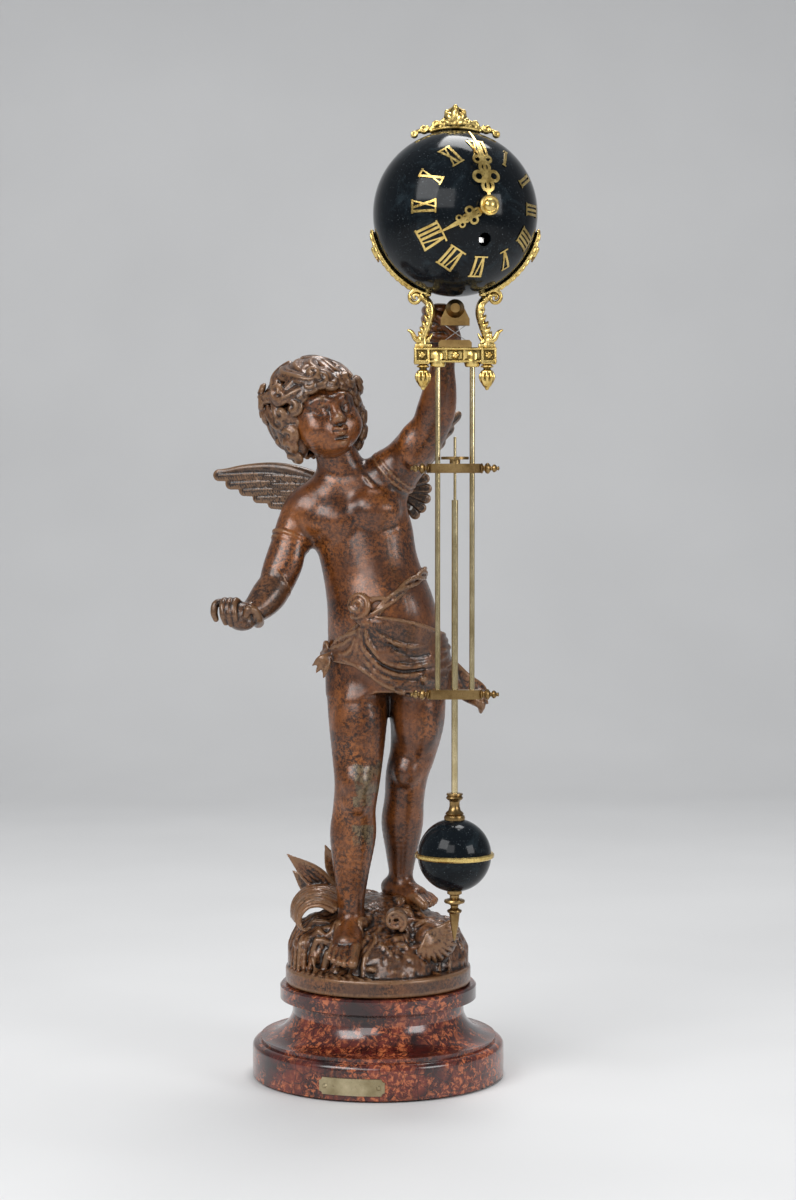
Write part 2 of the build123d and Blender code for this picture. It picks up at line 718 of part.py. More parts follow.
with BuildPart() as ground_casting:
    upright_rod(0, 0, STAND_TOP, STAND_TOP + GROUND_RIM_H, GROUND_R)
    chamfer(ground_casting.edges().sort_by(Axis.Z)[-1], GROUND_RIM_ROUND)
    add(mound.part)
    for root, tip, width in LEAVES:
        way = Vector(*tip) - Vector(*root)
        with BuildSketch(square_plane(on_base(*root), way)) as leaf_root:
            Ellipse(width / 2, LEAF_T / 2)
        with BuildSketch(square_plane(Vector(*on_base(*root)) + way * 0.5, way)) as leaf_middle:
            Ellipse(width / 2, LEAF_T / 2)
        with BuildSketch(square_plane(on_base(*tip), way)) as leaf_tip:
            Ellipse(width / 6, LEAF_T / 4)
        loft([leaf_root.sketch, leaf_middle.sketch, leaf_tip.sketch])
    with Locations(Plane(origin=on_base(*SCROLL_AT), z_dir=(0, 1, 0))):
        Cylinder(SCROLL_R, SCROLL_W)
    add(ground_hollow.part, mode=Mode.SUBTRACT)
    boss_top = STAND_TOP + MOUND_LUMPS[0][2] + MOUND_LUMPS[0][3] - CAST_WALL
    upright_rod(0, 0, STAND_TOP, boss_top, TIE_BOSS_R)
    upright_rod(0, 0, STAND_TOP, tie_top, TIE_R + RUN, mode=Mode.SUBTRACT)
    limb(RIGHT_LEG, grow=SEAT, mode=Mode.SUBTRACT)
    limb(RIGHT_FOOT, grow=SEAT, mode=Mode.SUBTRACT)
    limb(LEFT_LEG, grow=SEAT, mode=Mode.SUBTRACT)
    limb(LEFT_FOOT, grow=SEAT, mode=Mode.SUBTRACT)
keep(ground_casting, "ground_casting")

# Legs
for label, leg_rings, foot_rings in (
    ("right_leg", RIGHT_LEG, RIGHT_FOOT),
    ("left_leg", LEFT_LEG, LEFT_FOOT),
):
    with BuildPart() as leg:
        limb(leg_rings, start=(0, 0, -1))
        limb(foot_rings)
        limb(leg_rings[:LEG_HOLLOW_RINGS], grow=-CAST_WALL, start=(0, 0, -1), mode=Mode.SUBTRACT)
    keep(leg, label)


def wing_frame(root, reach, face):
    """The plane of a wing: x runs to the tip, and z faces away from the back."""
    normal = Vector(*face).normalized()
    across = Vector(*reach) - normal * Vector(*reach).dot(normal)
    return Plane(origin=on_base(*root), x_dir=across, z_dir=normal)


right_wing_plane = wing_frame(RIGHT_WING_ROOT, RIGHT_WING_REACH, RIGHT_WING_FACE)
left_wing_plane = wing_frame(LEFT_WING_ROOT, LEFT_WING_REACH, LEFT_WING_FACE)

# Torso, with a screw hole for each wing
with BuildPart() as torso:
    limb(TORSO, level=True, end=NECK_AXIS)
    limb(RIGHT_SHOULDER, end=RIGHT_SHOULDER_AXIS)
    limb(LEFT_SHOULDER, end=LEFT_SHOULDER_AXIS)
    limb(TORSO[:TORSO_HOLLOW_RINGS], grow=-CAST_WALL, level=True, mode=Mode.SUBTRACT)
    for wing_plane in (right_wing_plane, left_wing_plane):
        with Locations(wing_plane.offset(-WING_SCREW_DEPTH)):
            Cylinder(WING_SCREW_R + RUN, WING_SCREW_DEPTH, align=UPRIGHT, mode=Mode.SUBTRACT)
keep(torso, "torso")

# Wings, each with a pad that meets the back
for label, wing_plane, outline in (
    ("right_wing", right_wing_plane, RIGHT_WING),
    ("left_wing", left_wing_plane, LEFT_WING),
):
    with BuildPart() as wing:
        with BuildSketch(wing_plane):
            Polygon(*outline, align=None)
        extrude(amount=WING_T)
        with Locations(wing_plane.offset(-WING_PAD_REACH)):
            Cylinder(WING_PAD_R, WING_PAD_REACH, align=UPRIGHT)
        limb(TORSO, grow=SEAT, level=True, end=NECK_AXIS, mode=Mode.SUBTRACT)
        limb(RIGHT_SHOULDER, grow=SEAT, end=RIGHT_SHOULDER_AXIS, mode=Mode.SUBTRACT)
        limb(LEFT_SHOULDER, grow=SEAT, end=LEFT_SHOULDER_AXIS, mode=Mode.SUBTRACT)
        with Locations(wing_plane.offset(-WING_SCREW_DEPTH)):
            Cylinder(WING_SCREW_R + RUN, WING_SCREW_DEPTH * 2, align=UPRIGHT, mode=Mode.SUBTRACT)
    keep(wing, label)

with BuildPart() as wing_screws:
    for wing_plane in (right_wing_plane, left_wing_plane):
        with Locations(wing_plane.offset(WING_T - WING_SCREW_DEPTH)):
            Cylinder(WING_SCREW_R, WING_SCREW_DEPTH, align=UPRIGHT)
        with Locations(wing_plane.offset(WING_T)):
            Cone(WING_SCREW_HEAD_R, WING_SCREW_CROWN_R, WING_SCREW_HEAD_T, align=UPRIGHT)
keep(wing_screws, "wing_screws")

# Arms, the left one raised with its fist round the stud
hanger_front = PEND_Y - HANGER_T / 2
hanger_back = PEND_Y + HANGER_T / 2
stud_elbow = (PEND_X, hanger_back + STUD_BALL_R * 0.8, STUD_Z)
stud_way = Vector(*stud_elbow) - Vector(*GRIP_AT, STUD_Z)
stud_plane = square_plane((*GRIP_AT, STUD_Z), stud_way)
with BuildPart() as right_arm:
    limb(RIGHT_ARM, start=RIGHT_SHOULDER_AXIS)
    limb(RIGHT_ARM[:ARM_HOLLOW_RINGS], grow=-CAST_WALL, start=RIGHT_SHOULDER_AXIS, mode=Mode.SUBTRACT)
keep(right_arm, "right_arm")

with BuildPart() as left_arm:
    limb(LEFT_ARM, start=LEFT_SHOULDER_AXIS)
    limb(LEFT_ARM[:ARM_HOLLOW_RINGS], grow=-CAST_WALL, start=LEFT_SHOULDER_AXIS, mode=Mode.SUBTRACT)
    grip_low = STAND_TOP + GRIP_LOW
    upright_rod(*GRIP_AT, grip_low, STUD_Z + BALL_R, GRIP_PIN_R + RUN, mode=Mode.SUBTRACT)
    with Locations(stud_plane):
        Cylinder(STUD_ARM_R + RUN, FIST_R * 2, align=UPRIGHT, mode=Mode.SUBTRACT)
keep(left_arm, "left_arm")

# Head
with BuildPart() as head:
    limb(NECK, start=NECK_AXIS)
    for x, y, rise, radius in (SKULL, *HEAD_LUMPS, NOSE, *CURLS):
        ball(on_base(x, y, rise), radius)
    x, y, rise, radius = SKULL
    ball(on_base(x, y, rise), radius - CAST_WALL, mode=Mode.SUBTRACT)
keep(head, "head")

# Loincloth, trimmed along a slanting waist and hem
with BuildPart() as loincloth:
    limb(CLOTH, level=True)
    with BuildSketch(Plane.XZ):
        waist_low = (CLOTH_WAIST_LOW[0], STAND_TOP + CLOTH_WAIST_LOW[1])
        waist_high = (CLOTH_WAIST_HIGH[0], STAND_TOP + CLOTH_WAIST_HIGH[1])
        hem_low = (CLOTH_HEM_LOW[0], STAND_TOP + CLOTH_HEM_LOW[1])
        hem_high = (CLOTH_HEM_HIGH[0], STAND_TOP + CLOTH_HEM_HIGH[1])
        Polygon(hem_high, hem_low, waist_high, waist_low, align=None)
    extrude(amount=BASE_R, both=True, mode=Mode.INTERSECT)
    limb(CLOTH_TAIL)
    limb(TORSO, grow=SEAT, level=True, end=NECK_AXIS, mode=Mode.SUBTRACT)
    limb(RIGHT_LEG, grow=SEAT, start=(0, 0, -1), mode=Mode.SUBTRACT)
    limb(LEFT_LEG, grow=SEAT, start=(0, 0, -1), mode=Mode.SUBTRACT)
keep(loincloth, "loincloth")

# Hanger: stud in the fist, plate with the upper chop, and nut
with BuildPart() as hanger_stud:
    upright_rod(*GRIP_AT, grip_low, STUD_Z + STUD_ARM_R + STUD_PIN_PROUD, GRIP_PIN_R)
    with Locations(stud_plane):
        Cylinder(STUD_ARM_R, stud_way.length, align=UPRIGHT)
    ball(stud_elbow, STUD_BALL_R)
    with Locations((PEND_X, hanger_back - BAR_D, STUD_Z)):
        Box(BAR_W, BAR_D * 2, BAR_W, mode=Mode.SUBTRACT)
    with Locations(Plane(origin=(PEND_X, stud_elbow[1], STUD_Z), z_dir=(0, -1, 0))):
        Cylinder(STUD_SCREW_R, stud_elbow[1] - hanger_front + HANGER_SCREW_REACH, align=UPRIGHT)
keep(hanger_stud, "hanger_stud")

with BuildPart() as hanger_plate:
    chop_top = SPRING_TOP + UPPER_CHOP_H
    with BuildSketch(Plane.XZ.offset(-hanger_back)):
        half = UPPER_CHOP_W / 2
        Polygon(
            (PEND_X - half, SPRING_TOP),
            (PEND_X + half, SPRING_TOP),
            (PEND_X + half, chop_top),
            (PEND_X + HANGER_TOP_R, STUD_Z),
            (PEND_X - HANGER_TOP_R, STUD_Z),
            (PEND_X - half, chop_top),
            align=None,
        )
        with Locations((PEND_X, STUD_Z)):
            Circle(HANGER_TOP_R)
            Circle(STUD_SCREW_R + RUN, mode=Mode.SUBTRACT)
    extrude(amount=HANGER_T)
    with Locations((PEND_X, PEND_Y, SPRING_TOP)):
        Box(UPPER_CHOP_W, CHOP_D, UPPER_CHOP_H, align=UPRIGHT)
keep(hanger_plate, "hanger_plate")

with BuildPart() as hanger_nut:
    with BuildSketch(Plane.XZ.offset(-hanger_front)) as nut_foot:
        with Locations((PEND_X, STUD_Z)):
            Circle(HANGER_NUT_R)
    with BuildSketch(Plane.XZ.offset(-hanger_front + HANGER_NUT_L)) as nut_nose:
        with Locations((PEND_X, STUD_Z)):
            Circle(HANGER_NUT_NOSE_R)
    loft([nut_foot.sketch, nut_nose.sketch])
    with BuildSketch(Plane.XZ.offset(-hanger_front)) as nut_bore:
        with Locations((PEND_X, STUD_Z)):
            Circle(STUD_SCREW_R + RUN)
    extrude(nut_bore.sketch, amount=HANGER_NUT_BORE, mode=Mode.SUBTRACT)
keep(hanger_nut, "hanger_nut")

# Crossed suspension springs between the chops, one in front of the other
with BuildPart() as suspension_springs:
    for lean, front in ((1, -SPRING_SPLIT / 2 - SPRING_W), (-1, SPRING_SPLIT / 2)):
        low_x = PEND_X + lean * SPRING_SPREAD
        high_x = PEND_X - lean * SPRING_SPREAD
        with BuildSketch(Plane.XZ.offset(-PEND_Y - front)):
            Polygon(
                (low_x - SPRING_T, SPRING_LOW),
                (low_x + SPRING_T, SPRING_LOW),
                (high_x + SPRING_T, SPRING_TOP),
                (high_x - SPRING_T, SPRING_TOP),
                align=None,
            )
        extrude(amount=-SPRING_W)
keep(suspension_springs, "suspension_springs")

with BuildPart() as lower_chop:
    with Locations((PEND_X, PEND_Y, BAR_TOP)):
        Box(LOWER_CHOP_W, CHOP_D, LOWER_CHOP_H, align=UPRIGHT)
    chamfer(lower_chop.edges().filter_by(Axis.Y).group_by(Axis.Z)[-1], LOWER_CHOP_H / 3)
keep(lower_chop, "lower_chop")

# Bar of the swinging frame, with sockets for the rods and drops
with BuildPart() as frame_bar:
    with Locations((PEND_X, PEND_Y, BAR_LOW)):
        Box(BAR_W, BAR_D, BAR_H, align=UPRIGHT)
    for side in (-1, 1):
        with Locations((PEND_X + side * (BAR_W - BAR_END_W) / 2, PEND_Y, BAR_LOW - BAR_END_PROUD)):
            Box(BAR_END_W, BAR_D + 2 * BAR_END_PROUD, BAR_H + BAR_END_PROUD, align=UPRIGHT)
        rod_x = PEND_X + side * ROD_SPREAD
        upright_rod(rod_x, PEND_Y, BAR_LOW, BAR_LOW + ROD_SOCKET, ROD_R + RUN, mode=Mode.SUBTRACT)
        drop_low = BAR_LOW - BAR_END_PROUD
        drop_x = PEND_X + side * DROP_SPREAD
        upright_rod(drop_x, PEND_Y, drop_low, drop_low + DROP_PEG_L, DROP_PEG_R + RUN, mode=Mode.SUBTRACT)
    for face_y in (PEND_Y - BAR_D / 2, PEND_Y + BAR_D / 2):
        for side in (-1, 0, 1):
            with Locations((PEND_X + side * ROD_SPREAD, face_y, BAR_LOW + BAR_H / 2)):
                Box(BAR_PANEL_W, BAR_PANEL_DEPTH * 2, BAR_PANEL_H, mode=Mode.SUBTRACT)
keep(frame_bar, "frame_bar")

# Cradles that hold the ball on the bar
crescent_r = BALL_R + SEAT + CRESCENT_T / 2
bar_top_local = BAR_TOP - BALL_Z
for label, side in (("cradle_left", -1), ("cradle_right", 1)):
    with BuildPart() as cradle:
        with BuildSketch(frame_plane):
            with BuildLine():
                sweep_start = CRESCENT_FROM if side > 0 else 180 - CRESCENT_TO
                CenterArc((0, 0), crescent_r, sweep_start, CRESCENT_TO - CRESCENT_FROM)
            trace(line_width=CRESCENT_T)
            with BuildLine():
                Spline(*[(side * (CRADLE_X + x), bar_top_local + z) for x, z in CRADLE_STEM])
            trace(line_width=CRADLE_STEM_T)
            with Locations((side * CRADLE_X, bar_top_local + CRADLE_FOOT_H / 2)):
                Rectangle(CRADLE_FOOT_W, CRADLE_FOOT_H)
            volute_x, volute_z = CRADLE_VOLUTE_AT
            with Locations((side * (CRADLE_X + volute_x), bar_top_local + volute_z)):
                Circle(CRADLE_VOLUTE_R)
            leaf_x, leaf_z = CRADLE_LEAF_AT
            with Locations((side * (CRADLE_X + leaf_x), bar_top_local + leaf_z)):
                Ellipse(*CRADLE_LEAF)
            Circle(BALL_R + SEAT, mode=Mode.SUBTRACT)
        extrude(amount=CRADLE_D / 2, both=True)
        ball(ball_middle, BALL_R + SEAT, mode=Mode.SUBTRACT)
        screw_angle = CRADLE_SCREW_ANGLE if side > 0 else 180 - CRADLE_SCREW_ANGLE
        with Locations(radial_plane(screw_angle, BALL_R - SCREW_DEPTH)):
            Cylinder(SCREW_R + RUN, SCREW_DEPTH * 3, align=UPRIGHT, mode=Mode.SUBTRACT)
    keep(cradle, label)

# Palmette crest on top of the ball
crest_r = BALL_R + SEAT + CREST_BAND_T / 2
with BuildPart() as crest:
    with BuildSketch(frame_plane):
        with BuildLine():
            CenterArc((0, 0), crest_r, 90 - CREST_SPAN, 2 * CREST_SPAN)
        trace(line_width=CREST_BAND_T)
        leaf_foot = BALL_R + SEAT + CREST_BAND_T
        leaf_l = CREST_TOP - CREST_BAND_T
        for lean in CREST_LEAF_ANGLES:
            reach = leaf_l * (1 - abs(lean) / 220)
            tip_x, tip_z = polar(reach / 2, 90 - lean)
            with Locations(Location((tip_x, leaf_foot + tip_z), 90 - lean)):
                Ellipse(reach / 2 + 0.5, CREST_LEAF_W * 0.7)
        for lean in CREST_SCROLL_ANGLES:
            for side in (-1, 1):
                with Locations(polar(crest_r + CREST_SCROLL_R / 2, 90 + side * lean)):
                    Circle(CREST_SCROLL_R)
        Circle(BALL_R + SEAT, mode=Mode.SUBTRACT)
    extrude(amount=CREST_D / 2, both=True)
    ball(ball_middle, BALL_R + SEAT, mode=Mode.SUBTRACT)
    for screw_angle in (CREST_SCREW_ANGLE, 180 - CREST_SCREW_ANGLE):
        with Locations(radial_plane(screw_angle, BALL_R - SCREW_DEPTH)):
            Cylinder(SCREW_R + RUN, SCREW_DEPTH * 4, align=UPRIGHT, mode=Mode.SUBTRACT)
        with Locations(radial_plane(screw_angle, BALL_R + SEAT + CREST_BAND_T)):
            Cylinder(SCREW_HEAD_R + RUN, SCREW_DEPTH * 2, align=UPRIGHT, mode=Mode.SUBTRACT)
keep(crest, "crest")

# Case screws through the cradles and the crest into the two shells
with BuildPart() as case_screws:
    for screw_angle, seat_r in (
        (CRADLE_SCREW_ANGLE, BALL_R + SEAT + CRESCENT_T),
        (180 - CRADLE_SCREW_ANGLE, BALL_R + SEAT + CRESCENT_T),
        (CREST_SCREW_ANGLE, BALL_R + SEAT + CREST_BAND_T),
        (180 - CREST_SCREW_ANGLE, BALL_R + SEAT + CREST_BAND_T),
    ):
        with Locations(radial_plane(screw_angle, BALL_R - SCREW_DEPTH)):
            Cylinder(SCREW_R, seat_r + RUN - BALL_R + SCREW_DEPTH, align=UPRIGHT)
        with Locations(radial_plane(screw_angle, seat_r + RUN)):
            Cylinder(SCREW_HEAD_R, SCREW_HEAD_T, align=UPRIGHT)
keep(case_screws, "case_screws")

# Acorn drops under the ends of the bar
drop_top = BAR_LOW - BAR_END_PROUD
with BuildPart() as bar_drops:
    for side in (-1, 1):
        drop_x = PEND_X + side * DROP_SPREAD
        upright_rod(drop_x, PEND_Y, drop_top, drop_top + DROP_PEG_L, DROP_PEG_R)
        for start, end, width in DROP_STEPS:
            upright_rod(drop_x, PEND_Y, drop_top - end * DROP_L, drop_top - start * DROP_L, width * DROP_R)
        bud_start, bud_width, bud_tip = DROP_BUD
        with Locations((drop_x, PEND_Y, drop_top - DROP_L)):
            Cone(bud_tip * DROP_R, bud_width * DROP_R, (1 - bud_start) * DROP_L, align=UPRIGHT)
keep(bar_drops, "bar_drops")

# Side rods
rod_low = LOWER_CROSSBAR_Z - CROSSBAR_H / 2
with BuildPart() as side_rods:
    for side in (-1, 1):
        upright_rod(PEND_X + side * ROD_SPREAD, PEND_Y, rod_low, BAR_LOW + ROD_SOCKET, ROD_R)
keep(side_rods, "side_rods")

# Crossbars that the side rods pass through
for label, middle_z, hole_r in (
    ("upper_crossbar", UPPER_CROSSBAR_Z, THIN_ROD_R + RUN),
    ("lower_crossbar", LOWER_CROSSBAR_Z, THICK_ROD_R + RUN),
):
    with BuildPart() as crossbar:
        with Locations((PEND_X, PEND_Y, middle_z)):
            Box(CROSSBAR_W, CROSSBAR_D, CROSSBAR_H)
        chamfer(crossbar.edges().filter_by(Axis.Z), CROSSBAR_D / 6)
        low = middle_z - CROSSBAR_H
        high = middle_z + CROSSBAR_H
        upright_rod(PEND_X, PEND_Y, low, high, hole_r, mode=Mode.SUBTRACT)
        for side in (-1, 1):
            upright_rod(PEND_X + side * ROD_SPREAD, PEND_Y, low, high, ROD_R + RUN, mode=Mode.SUBTRACT)
            peg_end = PEND_X + side * CROSSBAR_W / 2
            with Locations(Plane(origin=(peg_end, PEND_Y, middle_z), z_dir=(-side, 0, 0))):
                Cylinder(FINIAL_PEG_R + RUN, FINIAL_PEG_L, align=UPRIGHT, mode=Mode.SUBTRACT)
    keep(crossbar, label)

# Turned finials on the ends of both crossbars
with BuildPart() as crossbar_finials:
    for middle_z in (UPPER_CROSSBAR_Z, LOWER_CROSSBAR_Z):
        for side in (-1, 1):
            seat = Plane(origin=(PEND_X + side * CROSSBAR_W / 2, PEND_Y, middle_z), z_dir=(side, 0, 0))
            with Locations(seat.offset(-FINIAL_PEG_L)):
                Cylinder(FINIAL_PEG_R, FINIAL_PEG_L, align=UPRIGHT)
            for start, end, width in FINIAL_STEPS:
                with Locations(seat.offset(start * FINIAL_L)):
                    Cylinder(width * FINIAL_R, (end - start) * FINIAL_L, align=UPRIGHT)
            nose_start, nose_width, nose_tip = FINIAL_NOSE
            with Locations(seat.offset(nose_start * FINIAL_L)):
                Cone(nose_width * FINIAL_R, nose_tip * FINIAL_R, (1 - nose_start) * FINIAL_L, align=UPRIGHT)
keep(crossbar_finials, "crossbar_finials")

# Rating nut on the upper crossbar
rating_low = CROSSBAR_TOP + RUN
rating_disc_low = rating_low + RATING_BOSS_H
with BuildPart() as rating_nut:
    upright_rod(PEND_X, PEND_Y, rating_low, rating_disc_low, RATING_BOSS_R)
    upright_rod(PEND_X, PEND_Y, rating_disc_low, rating_disc_low + RATING_DISC_H, RATING_DISC_R)
    rating_top = rating_disc_low + RATING_DISC_H
    upright_rod(PEND_X, PEND_Y, rating_low, rating_top, THIN_ROD_R + RUN, mode=Mode.SUBTRACT)
keep(rating_nut, "rating_nut")

# Pendulum rod, threaded above for the rating nut and running down into the bob's finial
finial_top = BOB_Z - BOB_R
with BuildPart() as centre_rod:
    upright_rod(PEND_X, PEND_Y, PIVOT_Z - THICK_ROD_DROP, PIVOT_Z - ROD_TOP_DROP, THIN_ROD_R)
    upright_rod(PEND_X, PEND_Y, finial_top - BOB_FINIAL_BORE, PIVOT_Z - THICK_ROD_DROP, THICK_ROD_R)
keep(centre_rod, "centre_rod")

# Bob: collar, two shells, ring, weight and finial
with BuildPart() as bob_collar:
    collar_low = BOB_Z + BOB_R - COLLAR_LAP
    collar_top = collar_low + COLLAR_H
    waist_h = COLLAR_H - COLLAR_FOOT_H - COLLAR_BEAD_H
    upright_rod(PEND_X, PEND_Y, collar_low, collar_low + COLLAR_FOOT_H, COLLAR_FOOT_R)
    with Locations((PEND_X, PEND_Y, collar_low + COLLAR_FOOT_H)):
        Cone((COLLAR_FOOT_R + COLLAR_WAIST_R) / 2, COLLAR_WAIST_R, waist_h, align=UPRIGHT)
    upright_rod(PEND_X, PEND_Y, collar_top - COLLAR_BEAD_H, collar_top, COLLAR_BEAD_R)
    upright_rod(PEND_X, PEND_Y, collar_low, collar_top, THICK_ROD_R + RUN, mode=Mode.SUBTRACT)
    ball((PEND_X, PEND_Y, BOB_Z), BOB_R + RUN, mode=Mode.SUBTRACT)
keep(bob_collar, "bob_collar")

ring_low = BOB_Z - BOB_RING_H / 2
ring_high = BOB_Z + BOB_RING_H / 2
for label, low, high in (
    ("bob_upper_shell", ring_high, BOB_Z + BOB_R + 1),
    ("bob_lower_shell", BOB_Z - BOB_R - 1, ring_low),
):
    with BuildPart() as bob_shell:
        ball((PEND_X, PEND_Y, BOB_Z), BOB_R)
        ball((PEND_X, PEND_Y, BOB_Z), BOB_R - BOB_WALL, mode=Mode.SUBTRACT)
        upright_rod(PEND_X, PEND_Y, low, high, BOB_R * 2, mode=Mode.INTERSECT)
        upright_rod(PEND_X, PEND_Y, low, high, THICK_ROD_R + RUN, mode=Mode.SUBTRACT)
    keep(bob_shell, label)

with BuildPart() as bob_ring:
    upright_rod(PEND_X, PEND_Y, ring_low, ring_high, BOB_RING_R)
    chamfer(bob_ring.edges(), BOB_RING_H / 4)
    upright_rod(PEND_X, PEND_Y, ring_low, ring_high, BOB_R - BOB_WALL, mode=Mode.SUBTRACT)
keep(bob_ring, "bob_ring")

with BuildPart() as bob_weight:
    ball((PEND_X, PEND_Y, BOB_Z), BOB_R - BOB_WALL - BOB_WEIGHT_GAP)
    upright_rod(PEND_X, PEND_Y, BOB_Z - BOB_R, BOB_Z + BOB_R, THICK_ROD_R + RUN, mode=Mode.SUBTRACT)
keep(bob_weight, "bob_weight")

with BuildPart() as bob_finial:
    for start, end, radius in (
        (-1, 1, BOB_FINIAL_NECK_R),
        (1, 2, BOB_FINIAL_DISC_R),
        (2, 4, BOB_FINIAL_WAIST_R),
        (4, 5, BOB_FINIAL_CUP_R),
    ):
        low = finial_top - end * BOB_FINIAL_DISC_H
        upright_rod(PEND_X, PEND_Y, low, finial_top - start * BOB_FINIAL_DISC_H, radius)
    nose_l = BOB_FINIAL_L - 5 * BOB_FINIAL_DISC_H
    with Locations((PEND_X, PEND_Y, finial_top - BOB_FINIAL_L)):
        Cone(BOB_FINIAL_TIP_R, BOB_FINIAL_NOSE_R, nose_l, align=UPRIGHT)
    ball((PEND_X, PEND_Y, BOB_Z), BOB_R + RUN, mode=Mode.SUBTRACT)
    bore_low = finial_top - BOB_FINIAL_BORE - RUN
    upright_rod(PEND_X, PEND_Y, bore_low, BOB_Z, THICK_ROD_R + RUN, mode=Mode.SUBTRACT)
keep(bob_finial, "bob_finial")

# Ball shells, split square to the dial's axis
for label, kept, holes in (
    ("dial_shell", Keep.TOP, (CRADLE_SCREW_ANGLE, CREST_SCREW_ANGLE)),
    ("back_shell", Keep.BOTTOM, (180 - CRADLE_SCREW_ANGLE, 180 - CREST_SCREW_ANGLE)),
):
    with BuildPart() as shell:
        ball(ball_middle, BALL_R)
        ball(ball_middle, SHELL_INNER_R, mode=Mode.SUBTRACT)
        split(bisect_by=dial, keep=kept)
        for screw_angle in holes:
            with Locations(radial_plane(screw_angle, BALL_R - SCREW_DEPTH)):
                Cylinder(SCREW_R + RUN, SCREW_DEPTH * 2, align=UPRIGHT, mode=Mode.SUBTRACT)
        if kept == Keep.TOP:
            arbor(centre_at, 0, BALL_R * 2, HOUR_PIPE_R + SEAT, mode=Mode.SUBTRACT)
            arbor(barrel_at, 0, BALL_R * 2, WIND_HOLE_R, mode=Mode.SUBTRACT)
    keep(shell, label)

# Twelve numerals that follow the ball
NUMERAL_WORDS = ("XII", "I", "II", "III", "IIII", "V", "VI", "VII", "VIII", "IX", "X", "XI")
numeral_r = BALL_R * math.sin(math.radians(NUMERAL_ANGLE))


def slant(x_low, x_high, width):
    """A leaning stroke from the foot to the head of a numeral."""
    half = width / 2
    foot = numeral_r - NUMERAL_H / 2
    top = numeral_r + NUMERAL_H / 2
    Polygon(
        (x_low - half, foot),
        (x_low + half, foot),
        (x_high + half, top),
        (x_high - half, top),
        align=None,
    )


def numeral(word):
    """Strokes of one numeral, joined by serif bars at its head and foot."""
    width = sum(NUMERAL_ADVANCE[letter] for letter in word)
    left = -width / 2
    for letter in word:
        advance = NUMERAL_ADVANCE[letter]
        middle = left + advance / 2
        reach = advance / 2 - NUMERAL_STROKE / 2
        if letter == "I":
            slant(middle, middle, NUMERAL_STROKE)
        if letter == "V":
            slant(middle, middle - reach, NUMERAL_STROKE)
            slant(middle, middle + reach, NUMERAL_THIN)
        if letter == "X":
            slant(middle + reach, middle - reach, NUMERAL_STROKE)
            slant(middle - reach, middle + reach, NUMERAL_THIN)
        left += advance
    for edge in (-1, 1):
        with Locations((0, numeral_r + edge * (NUMERAL_H - NUMERAL_SERIF) / 2)):
            Rectangle(width, NUMERAL_SERIF)


with BuildPart() as numerals:
    for hour, word in enumerate(NUMERAL_WORDS):
        with BuildSketch(turned_dial(30 * hour)) as glyph:
            numeral(word)
        extrude(glyph.sketch, amount=BALL_R * 2)
    ball(ball_middle, BALL_R + RUN + NUMERAL_T, mode=Mode.INTERSECT)
    ball(ball_middle, BALL_R + RUN, mode=Mode.SUBTRACT)
keep(numerals, "numerals")


def pierced(at, radius, hole):
    """A ring of a hand's openwork."""
    with Locations(at):
        Circle(radius)
        Circle(hole, mode=Mode.SUBTRACT)


def blade_angles(length):
    """The angles at the foot of a hand's blade, so that it narrows to its tip."""
    angle = math.degrees(math.atan2(length, (HAND_BLADE_W - HAND_TIP_W) / 2))
    return (angle, angle)


# Hands, bent to follow the ball
hour_reach = BALL_R * math.sin(math.radians(HOUR_HAND_ANGLE))
minute_reach = BALL_R * math.sin(math.radians(MINUTE_HAND_ANGLE))
for label, turn, lift, reach, hub_r, bore_r in (
    ("hour_hand", HOUR_TURN, HOUR_LIFT, hour_reach, HOUR_HUB_R, HOUR_PIPE_R + RUN),
    ("minute_hand", MINUTE_TURN, MINUTE_LIFT, minute_reach, MINUTE_HUB_R, CENTRE_ARBOR_R + RUN),
):
    with BuildPart() as hand:
        with BuildSketch(turned_dial(turn)):
            lace = reach * HAND_LACE
            for across, along, radius, hole in LACE_RINGS:
                pierced((across * lace, along * lace), radius * lace, hole * lace)
            with Locations((0, lace / 2)):
                Rectangle(HAND_STEM_W, lace)
            with Locations((0, (lace + reach) / 2)):
                Trapezoid(HAND_BLADE_W, reach - lace, *blade_angles(reach - lace))
            Circle(hub_r)
            Circle(bore_r, mode=Mode.SUBTRACT)
        extrude(amount=BALL_R * 2)
        ball(ball_middle, BALL_R + lift + HAND_T, mode=Mode.INTERSECT)
        ball(ball_middle, BALL_R + lift, mode=Mode.SUBTRACT)
    keep(hand, label)

with BuildPart() as hand_nut:
    nut_low = MINUTE_HAND_Z + HAND_T
    with Locations(place(*centre_at, nut_low)):
        Cylinder(HAND_NUT_R, HAND_NUT_FLAT_H, align=UPRIGHT)
    with Locations(place(*centre_at, nut_low + HAND_NUT_FLAT_H)):
        Cone(HAND_NUT_R, HAND_NUT_CROWN_R, HAND_NUT_H - HAND_NUT_FLAT_H, align=UPRIGHT)
    arbor(centre_at, nut_low, nut_low + HAND_NUT_BORE, CENTRE_ARBOR_R + RUN, mode=Mode.SUBTRACT)
keep(hand_nut, "hand_nut")

